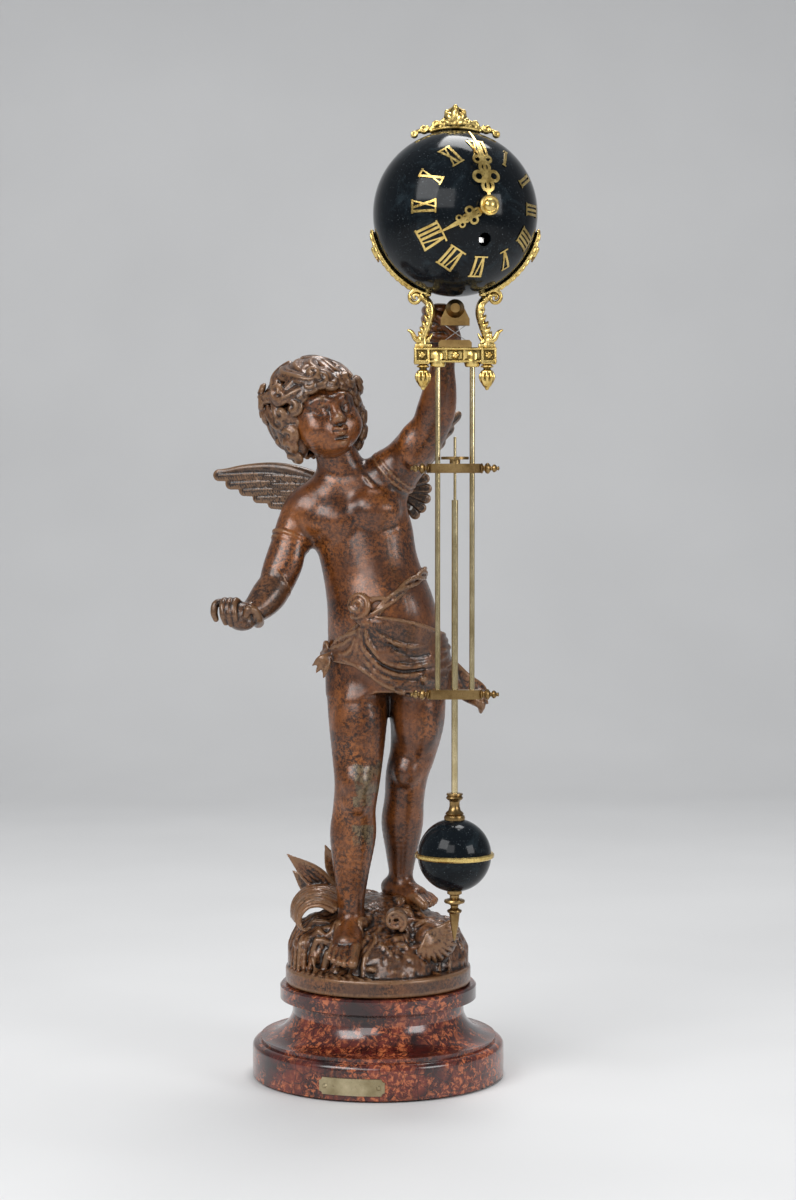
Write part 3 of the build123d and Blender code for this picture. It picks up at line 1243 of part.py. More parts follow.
# Movement plates and pillars
for label, low, wind_hole in (
    ("front_plate", FRONT_PLATE_BACK, WIND_NECK_R + RUN),
    ("back_plate", BACK_PLATE_BACK, PIVOT_R * 2 + RUN),
):
    with BuildPart() as plate:
        arbor(centre_at, low, low + MOVEMENT_PLATE_T, PLATE_R)
        for at in (third_at, escape_at, anchor_at):
            arbor(at, low, low + MOVEMENT_PLATE_T, PIVOT_R + RUN, mode=Mode.SUBTRACT)
        arbor(centre_at, low, low + MOVEMENT_PLATE_T, CENTRE_ARBOR_R + RUN, mode=Mode.SUBTRACT)
        arbor(barrel_at, low, low + MOVEMENT_PLATE_T, wind_hole, mode=Mode.SUBTRACT)
        for angle in PILLAR_ANGLES:
            pillar_at = polar(PILLAR_RING_R, angle)
            arbor(pillar_at, low, low + MOVEMENT_PLATE_T, PILLAR_SCREW_R + RUN, mode=Mode.SUBTRACT)
        if label == "front_plate":
            click_at = (barrel_at[0] + CLICK_AT[0], barrel_at[1] + CLICK_AT[1])
            stud_low = FRONT_PLATE_FRONT - MOVEMENT_PLATE_T / 2
            arbor(click_at, stud_low, CANNON_Z + RATCHET_T, CLICK_STUD_R)
            arbor(minute_at, stud_low, HOUR_WHEEL_Z + WHEEL_T, MINUTE_STUD_R)
    keep(plate, label)

with BuildPart() as plate_pillars:
    for angle in PILLAR_ANGLES:
        at = polar(PILLAR_RING_R, angle)
        arbor(at, BACK_PLATE_FRONT, FRONT_PLATE_BACK, PILLAR_R)
        arbor(at, BACK_PLATE_BACK, FRONT_PLATE_FRONT, PILLAR_SCREW_R)
        arbor(at, FRONT_PLATE_FRONT, BALL_R, PILLAR_R)
    ball(ball_middle, SHELL_INNER_R - RUN, mode=Mode.INTERSECT)
keep(plate_pillars, "plate_pillars")

# Barrel with the great wheel, mainspring and winding arbor
barrel_low = GREAT_WHEEL_Z - BARREL_H
with BuildPart() as barrel:
    arbor(barrel_at, barrel_low, GREAT_WHEEL_Z, BARREL_R)
    gear(barrel_at, GREAT_WHEEL_Z, GREAT_WHEEL_Z + WHEEL_T, GREAT_TEETH, GREAT_MODULE, 90)
    spring_low = barrel_low + BARREL_WALL
    spring_high = GREAT_WHEEL_Z - BARREL_WALL
    arbor(barrel_at, spring_low, spring_high, BARREL_R - BARREL_WALL, mode=Mode.SUBTRACT)
    arbor(barrel_at, barrel_low, GREAT_WHEEL_Z + WHEEL_T, WIND_ARBOR_R + RUN, mode=Mode.SUBTRACT)
keep(barrel, "barrel")

spring_start = SPRING_HUB_R + MAINSPRING_T
with BuildPart() as mainspring:
    with BuildSketch(place(*barrel_at, spring_low + SEAT)):
        with BuildLine():
            inner_edge = []
            outer_edge = []
            for half_turn in range(MAINSPRING_TURNS * 2):
                side = 1 if half_turn % 2 == 0 else -1
                here = spring_start + half_turn * MAINSPRING_PITCH / 2
                there = here + MAINSPRING_PITCH / 2
                middle = (here + there) / 2
                shift = side * (here - middle)
                for edge, extra in ((inner_edge, 0), (outer_edge, MAINSPRING_T)):
                    reach = side * (middle + extra)
                    edge.append(((shift + reach, 0), (shift, reach), (shift - reach, 0)))
            for arc in (*inner_edge, *outer_edge):
                ThreePointArc(*arc)
            Line(inner_edge[0][0], outer_edge[0][0])
            Line(inner_edge[-1][2], outer_edge[-1][2])
        make_face()
    extrude(amount=spring_high - spring_low - 2 * SEAT)
keep(mainspring, "mainspring")

ratchet_low = CANNON_Z
wind_end = math.sqrt(SHELL_INNER_R**2 - CENTRE_DISTANCE**2) - WIND_RECESS
with BuildPart() as winding_arbor:
    arbor(barrel_at, BACK_PLATE_BACK, BACK_PLATE_FRONT, PIVOT_R * 2)
    arbor(barrel_at, BACK_PLATE_FRONT + RUN, FRONT_PLATE_BACK - RUN, WIND_ARBOR_R)
    arbor(barrel_at, spring_low + SEAT, spring_high - SEAT, SPRING_HUB_R)
    arbor(barrel_at, BACK_PLATE_FRONT, wind_end - WIND_SQUARE_L, WIND_NECK_R)
    saw_wheel(barrel_at, ratchet_low, ratchet_low + RATCHET_T, RATCHET_TEETH, RATCHET_R, RATCHET_TOOTH_H)
    with BuildSketch(place(*barrel_at, wind_end - WIND_SQUARE_L)) as square_end:
        Rectangle(WIND_SQUARE, WIND_SQUARE)
    extrude(square_end.sketch, amount=WIND_SQUARE_L)
keep(winding_arbor, "winding_arbor")

with BuildPart() as click:
    with BuildSketch(place(*click_at, ratchet_low)):
        tip = polar(RATCHET_R + CLICK_GAP, 40)
        tip = (tip[0] - CLICK_AT[0], tip[1] - CLICK_AT[1])
        Circle(CLICK_HUB_R)
        with BuildLine():
            Line((0, 0), tip)
        trace(line_width=CLICK_ARM_W)
        with Locations((-CLICK_AT[0], -CLICK_AT[1])):
            Circle(RATCHET_R + CLICK_GAP, mode=Mode.SUBTRACT)
        Circle(CLICK_STUD_R + RUN, mode=Mode.SUBTRACT)
    extrude(amount=RATCHET_T)
keep(click, "click")

# Going train
with BuildPart() as centre_wheel:
    arbor(centre_at, BACK_PLATE_BACK, MINUTE_HAND_Z + HAND_T + ARBOR_PROUD, CENTRE_ARBOR_R)
    gear(centre_at, CENTRE_WHEEL_Z, CENTRE_WHEEL_Z + WHEEL_T, CENTRE_TEETH, CENTRE_MODULE, 0)
    pinion_low = GREAT_WHEEL_Z + WHEEL_T / 2 - PINION_T / 2
    gear(
        centre_at,
        pinion_low,
        pinion_low + PINION_T,
        CENTRE_PINION_LEAVES,
        GREAT_MODULE,
        centre_pinion_phase,
        leaves=True,
    )
    gear(centre_at, CANNON_Z, CANNON_Z + PINION_T, CANNON_LEAVES, MINUTE_MODULE, 0, leaves=True)
keep(centre_wheel, "centre_wheel")


def train_arbor(at):
    """An arbor between the plates with its two pivots."""
    arbor(at, BACK_PLATE_FRONT + RUN, FRONT_PLATE_BACK - RUN, ARBOR_R)
    arbor(at, BACK_PLATE_BACK, FRONT_PLATE_FRONT, PIVOT_R)


with BuildPart() as third_wheel:
    train_arbor(third_at)
    pinion_low = CENTRE_WHEEL_Z + WHEEL_T / 2 - PINION_T / 2
    gear(
        third_at,
        pinion_low,
        pinion_low + PINION_T,
        THIRD_PINION_LEAVES,
        CENTRE_MODULE,
        third_pinion_phase,
        leaves=True,
    )
    gear(third_at, THIRD_WHEEL_Z, THIRD_WHEEL_Z + WHEEL_T, THIRD_TEETH, THIRD_MODULE, 0)
keep(third_wheel, "third_wheel")

with BuildPart() as escape_wheel:
    train_arbor(escape_at)
    pinion_low = THIRD_WHEEL_Z + WHEEL_T / 2 - PINION_T / 2
    gear(
        escape_at,
        pinion_low,
        pinion_low + PINION_T,
        ESCAPE_PINION_LEAVES,
        THIRD_MODULE,
        escape_pinion_phase,
        leaves=True,
    )
    saw_wheel(escape_at, ESCAPE_WHEEL_Z, ESCAPE_WHEEL_Z + WHEEL_T, ESCAPE_TEETH, ESCAPE_R, ESCAPE_TOOTH_H)
keep(escape_wheel, "escape_wheel")

# Anchor, with the inner pendulum behind the back plate on the same arbor
inner_front = BACK_PLATE_BACK - INNER_GAP
with BuildPart() as anchor:
    arbor(anchor_at, BACK_PLATE_FRONT + RUN, FRONT_PLATE_BACK - RUN, ARBOR_R)
    arbor(anchor_at, inner_front - INNER_BOB_T, FRONT_PLATE_FRONT, PIVOT_R)
    arbor(anchor_at, ESCAPE_WHEEL_Z, ESCAPE_WHEEL_Z + ANCHOR_T, ANCHOR_HUB_R)
    with BuildSketch(place(*anchor_at, ESCAPE_WHEEL_Z)):
        for side in (-1, 1):
            pallet = polar(ESCAPE_R + PALLET_GAP + PALLET_W / 2, 90 - side * PALLET_ANGLE)
            pallet_at = (pallet[0], pallet[1] - ANCHOR_RISE)
            with BuildLine():
                Polyline((0, 0), (pallet_at[0] * 1.2, pallet_at[1] * 0.35), pallet_at)
            trace(line_width=PALLET_W)
        with Locations((0, -ANCHOR_RISE)):
            Circle(ESCAPE_R + PALLET_GAP, mode=Mode.SUBTRACT)
    extrude(amount=ANCHOR_T)
keep(anchor, "anchor")

with BuildPart() as inner_pendulum:
    with BuildSketch(place(*anchor_at, inner_front - INNER_BOB_T)):
        with Locations((0, -INNER_PENDULUM_L / 2)):
            Rectangle(INNER_ROD_W, INNER_PENDULUM_L)
        with Locations((0, -INNER_PENDULUM_L)):
            Circle(INNER_BOB_R)
        Circle(ANCHOR_HUB_R)
        Circle(PIVOT_R + RUN, mode=Mode.SUBTRACT)
    extrude(amount=INNER_BOB_T)
keep(inner_pendulum, "inner_pendulum")

# Motion work
with BuildPart() as minute_wheel:
    minute_wheel_low = CANNON_Z + WHEEL_T / 2
    gear(
        minute_at,
        minute_wheel_low,
        minute_wheel_low + WHEEL_T,
        MINUTE_WHEEL_TEETH,
        MINUTE_MODULE,
        minute_wheel_phase,
    )
    gear(
        minute_at,
        minute_wheel_low + WHEEL_T,
        HOUR_WHEEL_Z + WHEEL_T,
        MINUTE_PINION_LEAVES,
        HOUR_MODULE,
        0,
        leaves=True,
    )
    arbor(minute_at, CANNON_Z, HOUR_WHEEL_Z + WHEEL_T, MINUTE_STUD_R + RUN, mode=Mode.SUBTRACT)
keep(minute_wheel, "minute_wheel")

with BuildPart() as hour_wheel:
    gear(centre_at, HOUR_WHEEL_Z, HOUR_WHEEL_Z + WHEEL_T, HOUR_TEETH, HOUR_MODULE, hour_wheel_phase)
    arbor(centre_at, HOUR_WHEEL_Z, HOUR_HAND_Z + HAND_T, HOUR_PIPE_R)
    arbor(centre_at, HOUR_WHEEL_Z, BALL_R * 2, HOUR_PIPE_BORE, mode=Mode.SUBTRACT)
keep(hour_wheel, "hour_wheel")

os.makedirs("parts", exist_ok=True)
for piece in pieces:
    export_step(piece, f"parts/{piece.label}.step")
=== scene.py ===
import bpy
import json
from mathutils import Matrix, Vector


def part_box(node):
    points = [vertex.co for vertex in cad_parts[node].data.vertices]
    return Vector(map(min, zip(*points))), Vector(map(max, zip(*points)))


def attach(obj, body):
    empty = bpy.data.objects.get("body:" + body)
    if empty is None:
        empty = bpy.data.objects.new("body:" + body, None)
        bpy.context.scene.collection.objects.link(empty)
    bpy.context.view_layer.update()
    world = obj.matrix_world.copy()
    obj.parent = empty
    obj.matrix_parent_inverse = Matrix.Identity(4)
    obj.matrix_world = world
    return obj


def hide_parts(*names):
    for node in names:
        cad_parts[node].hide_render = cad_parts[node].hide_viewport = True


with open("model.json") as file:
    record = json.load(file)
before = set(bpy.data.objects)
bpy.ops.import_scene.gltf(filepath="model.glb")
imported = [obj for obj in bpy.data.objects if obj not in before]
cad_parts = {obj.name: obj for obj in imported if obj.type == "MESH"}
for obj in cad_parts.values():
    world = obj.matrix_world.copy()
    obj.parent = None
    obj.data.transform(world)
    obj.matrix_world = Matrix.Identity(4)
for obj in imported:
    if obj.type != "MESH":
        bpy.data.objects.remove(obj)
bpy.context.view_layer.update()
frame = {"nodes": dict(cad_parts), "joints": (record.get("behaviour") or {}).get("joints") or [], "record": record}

import copy
import json
import math

import bpy
import numpy as np
from mathutils import Vector

# The looks of the swinging ball clock. Sculpted pieces are modelled in millimetres on distance grids and then
# meshed in metres, in the frame's own place.
MM = 0.001
FAR = 1000.0

# Places read from the frame, in millimetres
STAND_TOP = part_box("base_turning")[1][2] / MM
BAR_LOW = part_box("frame_bar")[0][2] / MM
BAR_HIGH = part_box("frame_bar")[1][2] / MM
SWING = next(joint for joint in frame["joints"] if joint["name"] == "swing")
PEND_X, PEND_Y = (value / MM for value in SWING["pos_m"][:2])
BALL_LOW, BALL_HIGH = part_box("dial_shell")
BALL_Z = (BALL_LOW[2] + BALL_HIGH[2]) / 2 / MM

# Camera of the photograph, in pixels and millimetres
PHOTO_H = 1200
FOCAL_PX = 2533.0
PITCH_PX = 120.0
CAMERA_AT = (14.4, -1824.0, 430.8)
SENSOR = 36.0

# How raised a skin is: the reach of the distances in cells, the rounds of smoothing, the gain and the least
# value
LIFT_CELLS = 4
LIFT_ROUNDS = 6
LIFT_GAIN = 0.9
LIFT_LEAST = 0.06
# The skin sinks under a neighbouring piece by this depth over this reach
TUCK_REACH = 4.0
TUCK_DEPTH = 1.0
# Turned pieces: steps round the axis, and the angle from which an edge is sharp
LATHE_STEPS = 64
SHARP_ANGLE = math.radians(40)


def unit(vector):
    """The direction of a vector."""
    vector = np.asarray(vector, float)
    return vector / np.linalg.norm(vector)


def on_base(x, y, rise):
    """A point of the figure, whose heights are counted from the top of the base."""
    return np.array((x, y, STAND_TOP + rise), float)


def curve_through(points, per_span=5):
    """A smooth run of points through the given ones. Extra columns, such as a radius, are carried along."""
    points = np.asarray(points, float)
    padded = np.vstack((2 * points[0] - points[1], points, 2 * points[-1] - points[-2]))
    run = []
    for index in range(len(points) - 1):
        a, b, c, d = padded[index:index + 4]
        for t in np.arange(per_span) / per_span:
            bend = (2 * a - 5 * b + 4 * c - d) * t**2
            twist = (3 * b - a - 3 * c + d) * t**3
            run.append(0.5 * (2 * b + (c - a) * t + bend + twist))
    run.append(points[-1])
    return np.array(run)


class Clay:
    """Clay on a grid of distances. Shapes are pressed on or carved out, and the skin comes out as a mesh."""

    def __init__(self, low, high, cell):
        self.low = np.asarray(low, float)
        self.cell = cell
        counts = np.ceil((np.asarray(high, float) - self.low) / cell).astype(int) + 1
        self.field = np.full(counts, FAR, np.float32)

    def window(self, low, high):
        """The part of the grid inside a box: its slices and its coordinates."""
        counts = np.array(self.field.shape)
        start = np.clip(np.floor((np.asarray(low) - self.low) / self.cell).astype(int), 0, counts)
        stop = np.clip(np.ceil((np.asarray(high) - self.low) / self.cell).astype(int) + 1, 0, counts)
        slices = tuple(slice(a, b) for a, b in zip(start, stop))
        spans = [self.low[i] + self.cell * np.arange(start[i], stop[i]) for i in range(3)]
        x = spans[0][:, None, None].astype(np.float32)
        y = spans[1][None, :, None].astype(np.float32)
        z = spans[2][None, None, :].astype(np.float32)
        return slices, (x, y, z)

    def whole(self):
        """The whole grid: its slices and its coordinates."""
        return self.window(self.low, self.low + self.cell * np.array(self.field.shape))

    def press(self, slices, distance, soft, carve=False):
        """Join a shape to the clay, or carve it out, with a soft edge."""
        old = -self.field[slices] if carve else self.field[slices]
        if soft > 0:
            share = np.clip(0.5 + 0.5 * (old - distance) / soft, 0, 1)
            new = old + (distance - old) * share - soft * share * (1 - share)
        else:
            new = np.minimum(old, distance)
        self.field[slices] = -new if carve else new

    def tube(self, points, soft=2.0, carve=False, squeeze=None):
        """A run of round lengths through (x, y, z, radius). Squeeze is (direction, factor): the section is
        thinner along the direction by that factor."""
        points = np.asarray(points, float)
        reach = points[:, 3].max() + soft + 3 * self.cell
        slices, (x, y, z) = self.window(points[:, :3].min(0) - reach, points[:, :3].max(0) + reach)
        shape = np.broadcast(x, y, z).shape
        if 0 in shape:
            return
        best = np.full(shape, FAR, np.float32)
        for (ax, ay, az, ar), (bx, by, bz, br) in zip(points[:-1], points[1:]):
            dx, dy, dz = bx - ax, by - ay, bz - az
            length = max(dx * dx + dy * dy + dz * dz, 1e-9)
            t = np.clip(((x - ax) * dx + (y - ay) * dy + (z - az) * dz) / length, 0, 1)
            px, py, pz = x - ax - t * dx, y - ay - t * dy, z - az - t * dz
            square = px * px + py * py + pz * pz
            if squeeze is not None:
                nx, ny, nz = squeeze[0]
                off = px * nx + py * ny + pz * nz
                square = square + off * off * (1 / squeeze[1] ** 2 - 1)
            best = np.minimum(best, np.sqrt(square) - ar - t * (br - ar))
        self.press(slices, best, soft, carve)

    def run(self, points, radii=None, per_span=5, **how):
        """A tube along the smooth curve through points, with radii given or in their last column."""
        if radii is not None:
            points = np.column_stack((points, np.broadcast_to(radii, len(points))))
        curve = curve_through(points, per_span)
        self.tube(curve, **how)
        return curve

    def rod(self, start, end, thick, thin=None, **how):
        """A straight round length, of one radius or from one to another."""
        self.tube([(*start, thick), (*end, thick if thin is None else thin)], **how)

    def curl(self, *winding, soft, start=0.0):
        """A flat spiral."""
        self.tube(spiral(*winding, start=start), soft=soft)

    def ball(self, at, radius, soft=2.0, carve=False):
        """A ball."""
        self.egg(at, (radius, radius, radius), soft=soft, carve=carve)

    def egg(self, at, radii, front=(0, -1, 0), up=(0, 0, 1), soft=2.0, carve=False):
        """An ellipsoid with radii to its side, its front and its top."""
        front = unit(front)
        side = unit(np.cross(up, front))
        top = np.cross(front, side)
        at = np.asarray(at, float)
        reach = max(radii) + soft + 3 * self.cell
        slices, (x, y, z) = self.window(at - reach, at + reach)
        if 0 in np.broadcast(x, y, z).shape:
            return
        x, y, z = x - at[0], y - at[1], z - at[2]
        scaled = 0
        steep = 0
        for axis, radius in zip((side, front, top), radii):
            along = x * axis[0] + y * axis[1] + z * axis[2]
            scaled = scaled + (along / radius) ** 2
            steep = steep + (along / radius**2) ** 2
        scaled = np.sqrt(scaled)
        distance = scaled * (scaled - 1) / np.maximum(np.sqrt(steep), 1e-6)
        self.press(slices, distance, soft, carve)

    def block(self, corner, other, round_r, carve=False):
        """A box between two corners, with rounded edges."""
        low, high = np.minimum(corner, other), np.maximum(corner, other)
        reach = round_r + 3 * self.cell
        slices, grid = self.window(low - reach, high + reach)
        middle, half = (low + high) / 2, (high - low) / 2 - round_r
        outside = 0
        inside = -FAR
        for axis in range(3):
            gap = np.abs(grid[axis] - middle[axis]) - half[axis]
            outside = outside + np.maximum(gap, 0) ** 2
            inside = np.maximum(inside, gap)
        self.press(slices, np.sqrt(outside) + np.minimum(inside, 0) - round_r, 0, carve)

    def column(self, rings, soft):
        """A body of level ellipses through (x, y, z, half width, half depth)."""
        rings = curve_through(rings)
        reach = np.array((rings[:, 3].max(), rings[:, 4].max(), 0)) + soft + 6
        slices, (x, y, z) = self.window(rings[:, :3].min(0) - reach, rings[:, :3].max(0) + reach)
        heights = z[0, 0]
        middle_x, middle_y, wide, deep = (np.interp(heights, rings[:, 2], rings[:, i]) for i in (0, 1, 3, 4))
        px, py = x - middle_x, y - middle_y
        scaled = np.sqrt((px / wide) ** 2 + (py / deep) ** 2)
        distance = (scaled - 1) * np.minimum(wide, deep)
        over = np.maximum(rings[0, 2] - z, z - rings[-1, 2])
        distance = np.maximum(distance, over)
        self.press(slices, distance.astype(np.float32), soft)

    def roughen(self, height, scale, seed):
        """Uneven the whole skin with smooth seeded noise."""
        grid = np.random.default_rng(seed)
        counts = np.ceil(np.array(self.field.shape) * self.cell / scale).astype(int) + 3
        lattice = grid.normal(size=counts)
        noise = lattice
        for axis, count in enumerate(self.field.shape):
            at = np.arange(count) * self.cell / scale
            low = at.astype(int)
            share = at - low
            share = share * share * (3 - 2 * share)
            shape = [1, 1, 1]
            shape[axis] = count
            share = share.reshape(shape)
            noise = np.take(noise, low, axis) * (1 - share) + np.take(noise, low + 1, axis) * share
        self.field += (noise * height).astype(np.float32)

    def skin(self, name, marks):
        """The zero surface as a mesh object in metres, with a point attribute for how raised or sunk it is.
        Marks are more point attributes, as functions of the points."""
        field = self.field
        inside = field < 0
        corners = [(i, j, k) for i in (0, 1) for j in (0, 1) for k in (0, 1)]
        nx, ny, nz = (count - 1 for count in field.shape)
        total = sum(inside[i:i + nx, j:j + ny, k:k + nz].astype(np.int8) for i, j, k in corners)
        active = (total > 0) & (total < 8)
        cells = np.argwhere(active)
        index = np.full(active.shape, -1, np.int32)
        index[active] = np.arange(len(cells))
        place = np.zeros((len(cells), 3))
        hits = np.zeros(len(cells))
        for a in corners:
            for axis in range(3):
                if a[axis]:
                    continue
                b = list(a)
                b[axis] = 1
                va = field[tuple((cells + a).T)]
                vb = field[tuple((cells + b).T)]
                crossed = (va < 0) != (vb < 0)
                t = np.where(crossed, va / np.where(crossed, va - vb, 1), 0)
                spot = np.asarray(a) + np.outer(t, np.eye(3)[axis])
                place[crossed] += spot[crossed]
                hits[crossed] += 1
        points = self.low + self.cell * (cells + place / hits[:, None])
        faces = []
        for axis in range(3):
            u, v = (axis + 1) % 3, (axis + 2) % 3
            first = [slice(None)] * 3
            second = [slice(None)] * 3
            first[axis] = slice(0, -1)
            second[axis] = slice(1, None)
            crossing = inside[tuple(first)] != inside[tuple(second)]
            spots = np.argwhere(crossing)
            keep = (spots[:, u] > 0) & (spots[:, v] > 0)
            keep &= (spots[:, u] < field.shape[u] - 1) & (spots[:, v] < field.shape[v] - 1)
            spots = spots[keep]
            ring = []
            for du, dv in ((-1, -1), (0, -1), (0, 0), (-1, 0)):
                cell = spots.copy()
                cell[:, u] += du
                cell[:, v] += dv
                ring.append(index[tuple(cell.T)])
            quads = np.stack(ring, 1)
            outward = inside[tuple(spots.T)]
            quads[~outward] = quads[~outward][:, ::-1]
            faces.append(quads)
        faces = np.vstack(faces)
        lift = self.lift(points)
        points = relaxed(points, faces)
        attributes = {"lift": lift}
        for label, mark in marks.items():
            attributes[label] = mark(points)
        return mesh_object(name, points * MM, faces, attributes)

    def lift(self, points):
        """How raised each point is over its neighbourhood: above 0.5 on edges, below it in hollows."""
        reach = LIFT_CELLS * self.cell
        near = np.clip(self.field, -reach, reach).astype(np.float32)
        wide = near.copy()
        for _ in range(LIFT_ROUNDS):
            for axis in range(3):
                wide = (np.roll(wide, 1, axis) + wide * 2 + np.roll(wide, -1, axis)) / 4
        cells = np.clip(np.round((points - self.low) / self.cell).astype(int), 0, np.array(near.shape) - 1)
        rise = (wide - near)[tuple(cells.T)] / self.cell
        return np.clip(0.5 + rise * LIFT_GAIN, LIFT_LEAST, 1)


def relaxed(points, faces):
    """Points drawn half way to the middle of their neighbours."""
    total = np.zeros_like(points)
    count = np.zeros(len(points))
    for a, b in ((0, 1), (1, 2), (2, 3), (3, 0)):
        for here, there in ((faces[:, a], faces[:, b]), (faces[:, b], faces[:, a])):
            np.add.at(total, here, points[there])
            np.add.at(count, here, 1)
    return points * 0.5 + total / np.maximum(count, 1)[:, None] * 0.5


def spiral(middle, across, upward, reach, inner, turns, thick, thin, start=0.0):
    """Points of a flat spiral that winds inward while its radius thins."""
    middle, across, upward = (np.asarray(value, float) for value in (middle, across, upward))
    run = []
    for share in np.linspace(0, 1, int(abs(turns) * 14) + 2):
        turn = start + 2 * math.pi * turns * share
        size = reach + (inner - reach) * share
        spot = middle + across * size * math.cos(turn) + upward * size * math.sin(turn)
        run.append((*spot, thick + (thin - thick) * share))
    return run


def mesh_object(name, points, faces, attributes=None):
    """A smooth-shaded mesh object, linked to the scene."""
    mesh = bpy.data.meshes.new(name)
    if isinstance(faces, np.ndarray):
        faces = faces.tolist()
    mesh.from_pydata(np.asarray(points).tolist(), [], faces)
    for label, values in (attributes or {}).items():
        layer = mesh.attributes.new(label, "FLOAT", "POINT")
        layer.data.foreach_set("value", np.asarray(values, np.float32))
    mesh.polygons.foreach_set("use_smooth", [True] * len(mesh.polygons))
    mesh.update()
    thing = bpy.data.objects.new(name, mesh)
    bpy.context.scene.collection.objects.link(thing)
    return thing


def finish_piece(thing, body, slot, nodes=()):
    """Give a new piece its material, its body and the nodes that it stands for."""
    thing.data.materials.clear()
    thing.data.materials.append(MATERIALS[slot])
    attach(thing, body)
    if nodes:
        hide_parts(*nodes)


def lathe(name, profile, at, axis=(0, 0, 1)):
    """A turned piece from a profile of (radius, distance along the axis) in millimetres."""
    axis = unit(axis)
    across = unit(np.cross(axis, (0.3, 0.9, 0.2)))
    other = np.cross(axis, across)
    points = []
    for radius, along in profile:
        for step in range(LATHE_STEPS):
            turn = 2 * math.pi * step / LATHE_STEPS
            out = across * math.cos(turn) + other * math.sin(turn)
            points.append(np.asarray(at) + axis * along + radius * out)
    faces = []
    last = (len(profile) - 1) * LATHE_STEPS
    for ring in range(0, last, LATHE_STEPS):
        for step in range(LATHE_STEPS):
            after = (step + 1) % LATHE_STEPS
            faces.append((ring + step, ring + after, ring + LATHE_STEPS + after, ring + LATHE_STEPS + step))
    faces.append(tuple(range(LATHE_STEPS))[::-1])
    faces.append(tuple(range(last, last + LATHE_STEPS)))
    thing = mesh_object(name, np.array(points) * MM, faces)
    thing.data.set_sharp_from_angle(angle=SHARP_ANGLE)
    return thing


class Shader:
    """A procedural material with short calls for the nodes that it uses."""

    def __init__(self, name):
        self.material = bpy.data.materials.new(name)
        self.material.use_nodes = True
        self.nodes = self.material.node_tree.nodes
        self.links = self.material.node_tree.links
        self.bsdf = self.nodes["Principled BSDF"]
        self.place = self.nodes.new("ShaderNodeTexCoord").outputs["Object"]

    def join(self, socket, value):
        """Set a socket to a value, or link it."""
        if isinstance(value, bpy.types.NodeSocket):
            self.links.new(value, socket)
        else:
            socket.default_value = value

    def fill(self, node, values):
        """Set or link the sockets of a node by their names."""
        for socket, value in values.items():
            self.join(node.inputs[socket], value)
        return node

    def dressed(self, values):
        """The material, with the sockets of its surface set or linked."""
        self.fill(self.bsdf, values)
        return self.material

    def stretched(self, scale):
        """Object coordinates scaled along each axis."""
        node = self.nodes.new("ShaderNodeMapping")
        return self.fill(node, {"Scale": scale, "Vector": self.place}).outputs["Vector"]

    def noise(self, scale, detail=4.0, rough=0.55, warp=0.0, vector=None):
        """Smooth noise between 0 and 1."""
        node = self.nodes.new("ShaderNodeTexNoise")
        self.fill(node, {"Scale": scale, "Detail": detail, "Roughness": rough, "Distortion": warp})
        self.join(node.inputs["Vector"], vector or self.place)
        return node.outputs["Fac"]

    def edges(self, scale):
        """Distance to the nearest edge between scattered cells."""
        node = self.nodes.new("ShaderNodeTexVoronoi")
        node.feature = "DISTANCE_TO_EDGE"
        return self.fill(node, {"Scale": scale, "Randomness": 1.0, "Vector": self.place}).outputs["Distance"]

    def ramp(self, source, stops):
        """A colour or grey ramp over a factor, from stops of (position, colour)."""
        node = self.nodes.new("ShaderNodeValToRGB")
        line = node.color_ramp.elements
        while len(line) < len(stops):
            line.new(0.5)
        for element, (position, colour) in zip(line, stops):
            element.position = position
            element.color = (*colour, 1) if isinstance(colour, tuple) else (colour, colour, colour, 1)
        self.links.new(source, node.inputs["Fac"])
        return node.outputs["Color"]

    def mix(self, share, first, second):
        """Two colours mixed by a share."""
        node = self.nodes.new("ShaderNodeMix")
        node.data_type = "RGBA"
        self.join(node.inputs["Factor"], share)
        for socket, value in ((node.inputs["A"], first), (node.inputs["B"], second)):
            self.join(socket, (*value, 1) if isinstance(value, tuple) else value)
        return node.outputs["Result"]

    def math(self, kind, first, second):
        """One sum on numbers."""
        node = self.nodes.new("ShaderNodeMath")
        node.operation = kind
        self.join(node.inputs[0], first)
        self.join(node.inputs[1], second)
        return node.outputs["Value"]

    def reading(self, name):
        """A point attribute of the mesh."""
        node = self.nodes.new("ShaderNodeAttribute")
        node.attribute_name = name
        return node.outputs["Fac"]

    def bump(self, height, strength, distance):
        """Fine relief from a height."""
        node = self.nodes.new("ShaderNodeBump")
        self.fill(node, {"Strength": strength, "Distance": distance, "Height": height})
        self.links.new(node.outputs["Normal"], self.bsdf.inputs["Normal"])


# Tones of the brown patina: darkest (also the painted shade in hollows), broad, warm, rubbed wear with a painted
# highlight, ashen and bare, and how raised a rubbed and highlit place is
DARK = (0.020, 0.0065, 0.0028)
BROWN = (0.135, 0.040, 0.009)
WARM = (0.29, 0.091, 0.018)
WORN_AND_HIGHLIT = (0.25, 0.132, 0.06)
ASHEN = (0.090, 0.056, 0.033)
BARE_METAL = (0.17, 0.13, 0.07)
WEAR_AND_HIGHLIGHT_FROM = 0.7
# Faux marble: its ground from dark to red, its flecks and its veins
MARBLE = [(0.36, (0.016, 0.004, 0.004)), (0.5, (0.075, 0.012, 0.009)), (0.64, (0.17, 0.03, 0.017))]
MARBLE_FLECK = (0.48, 0.135, 0.05)
MARBLE_VEIN = (0.012, 0.004, 0.004)
# Gilding
GILT_DEEP = (0.46, 0.29, 0.07)
GILT_BRIGHT = (0.82, 0.61, 0.22)
GILT_ROUGH = 0.27
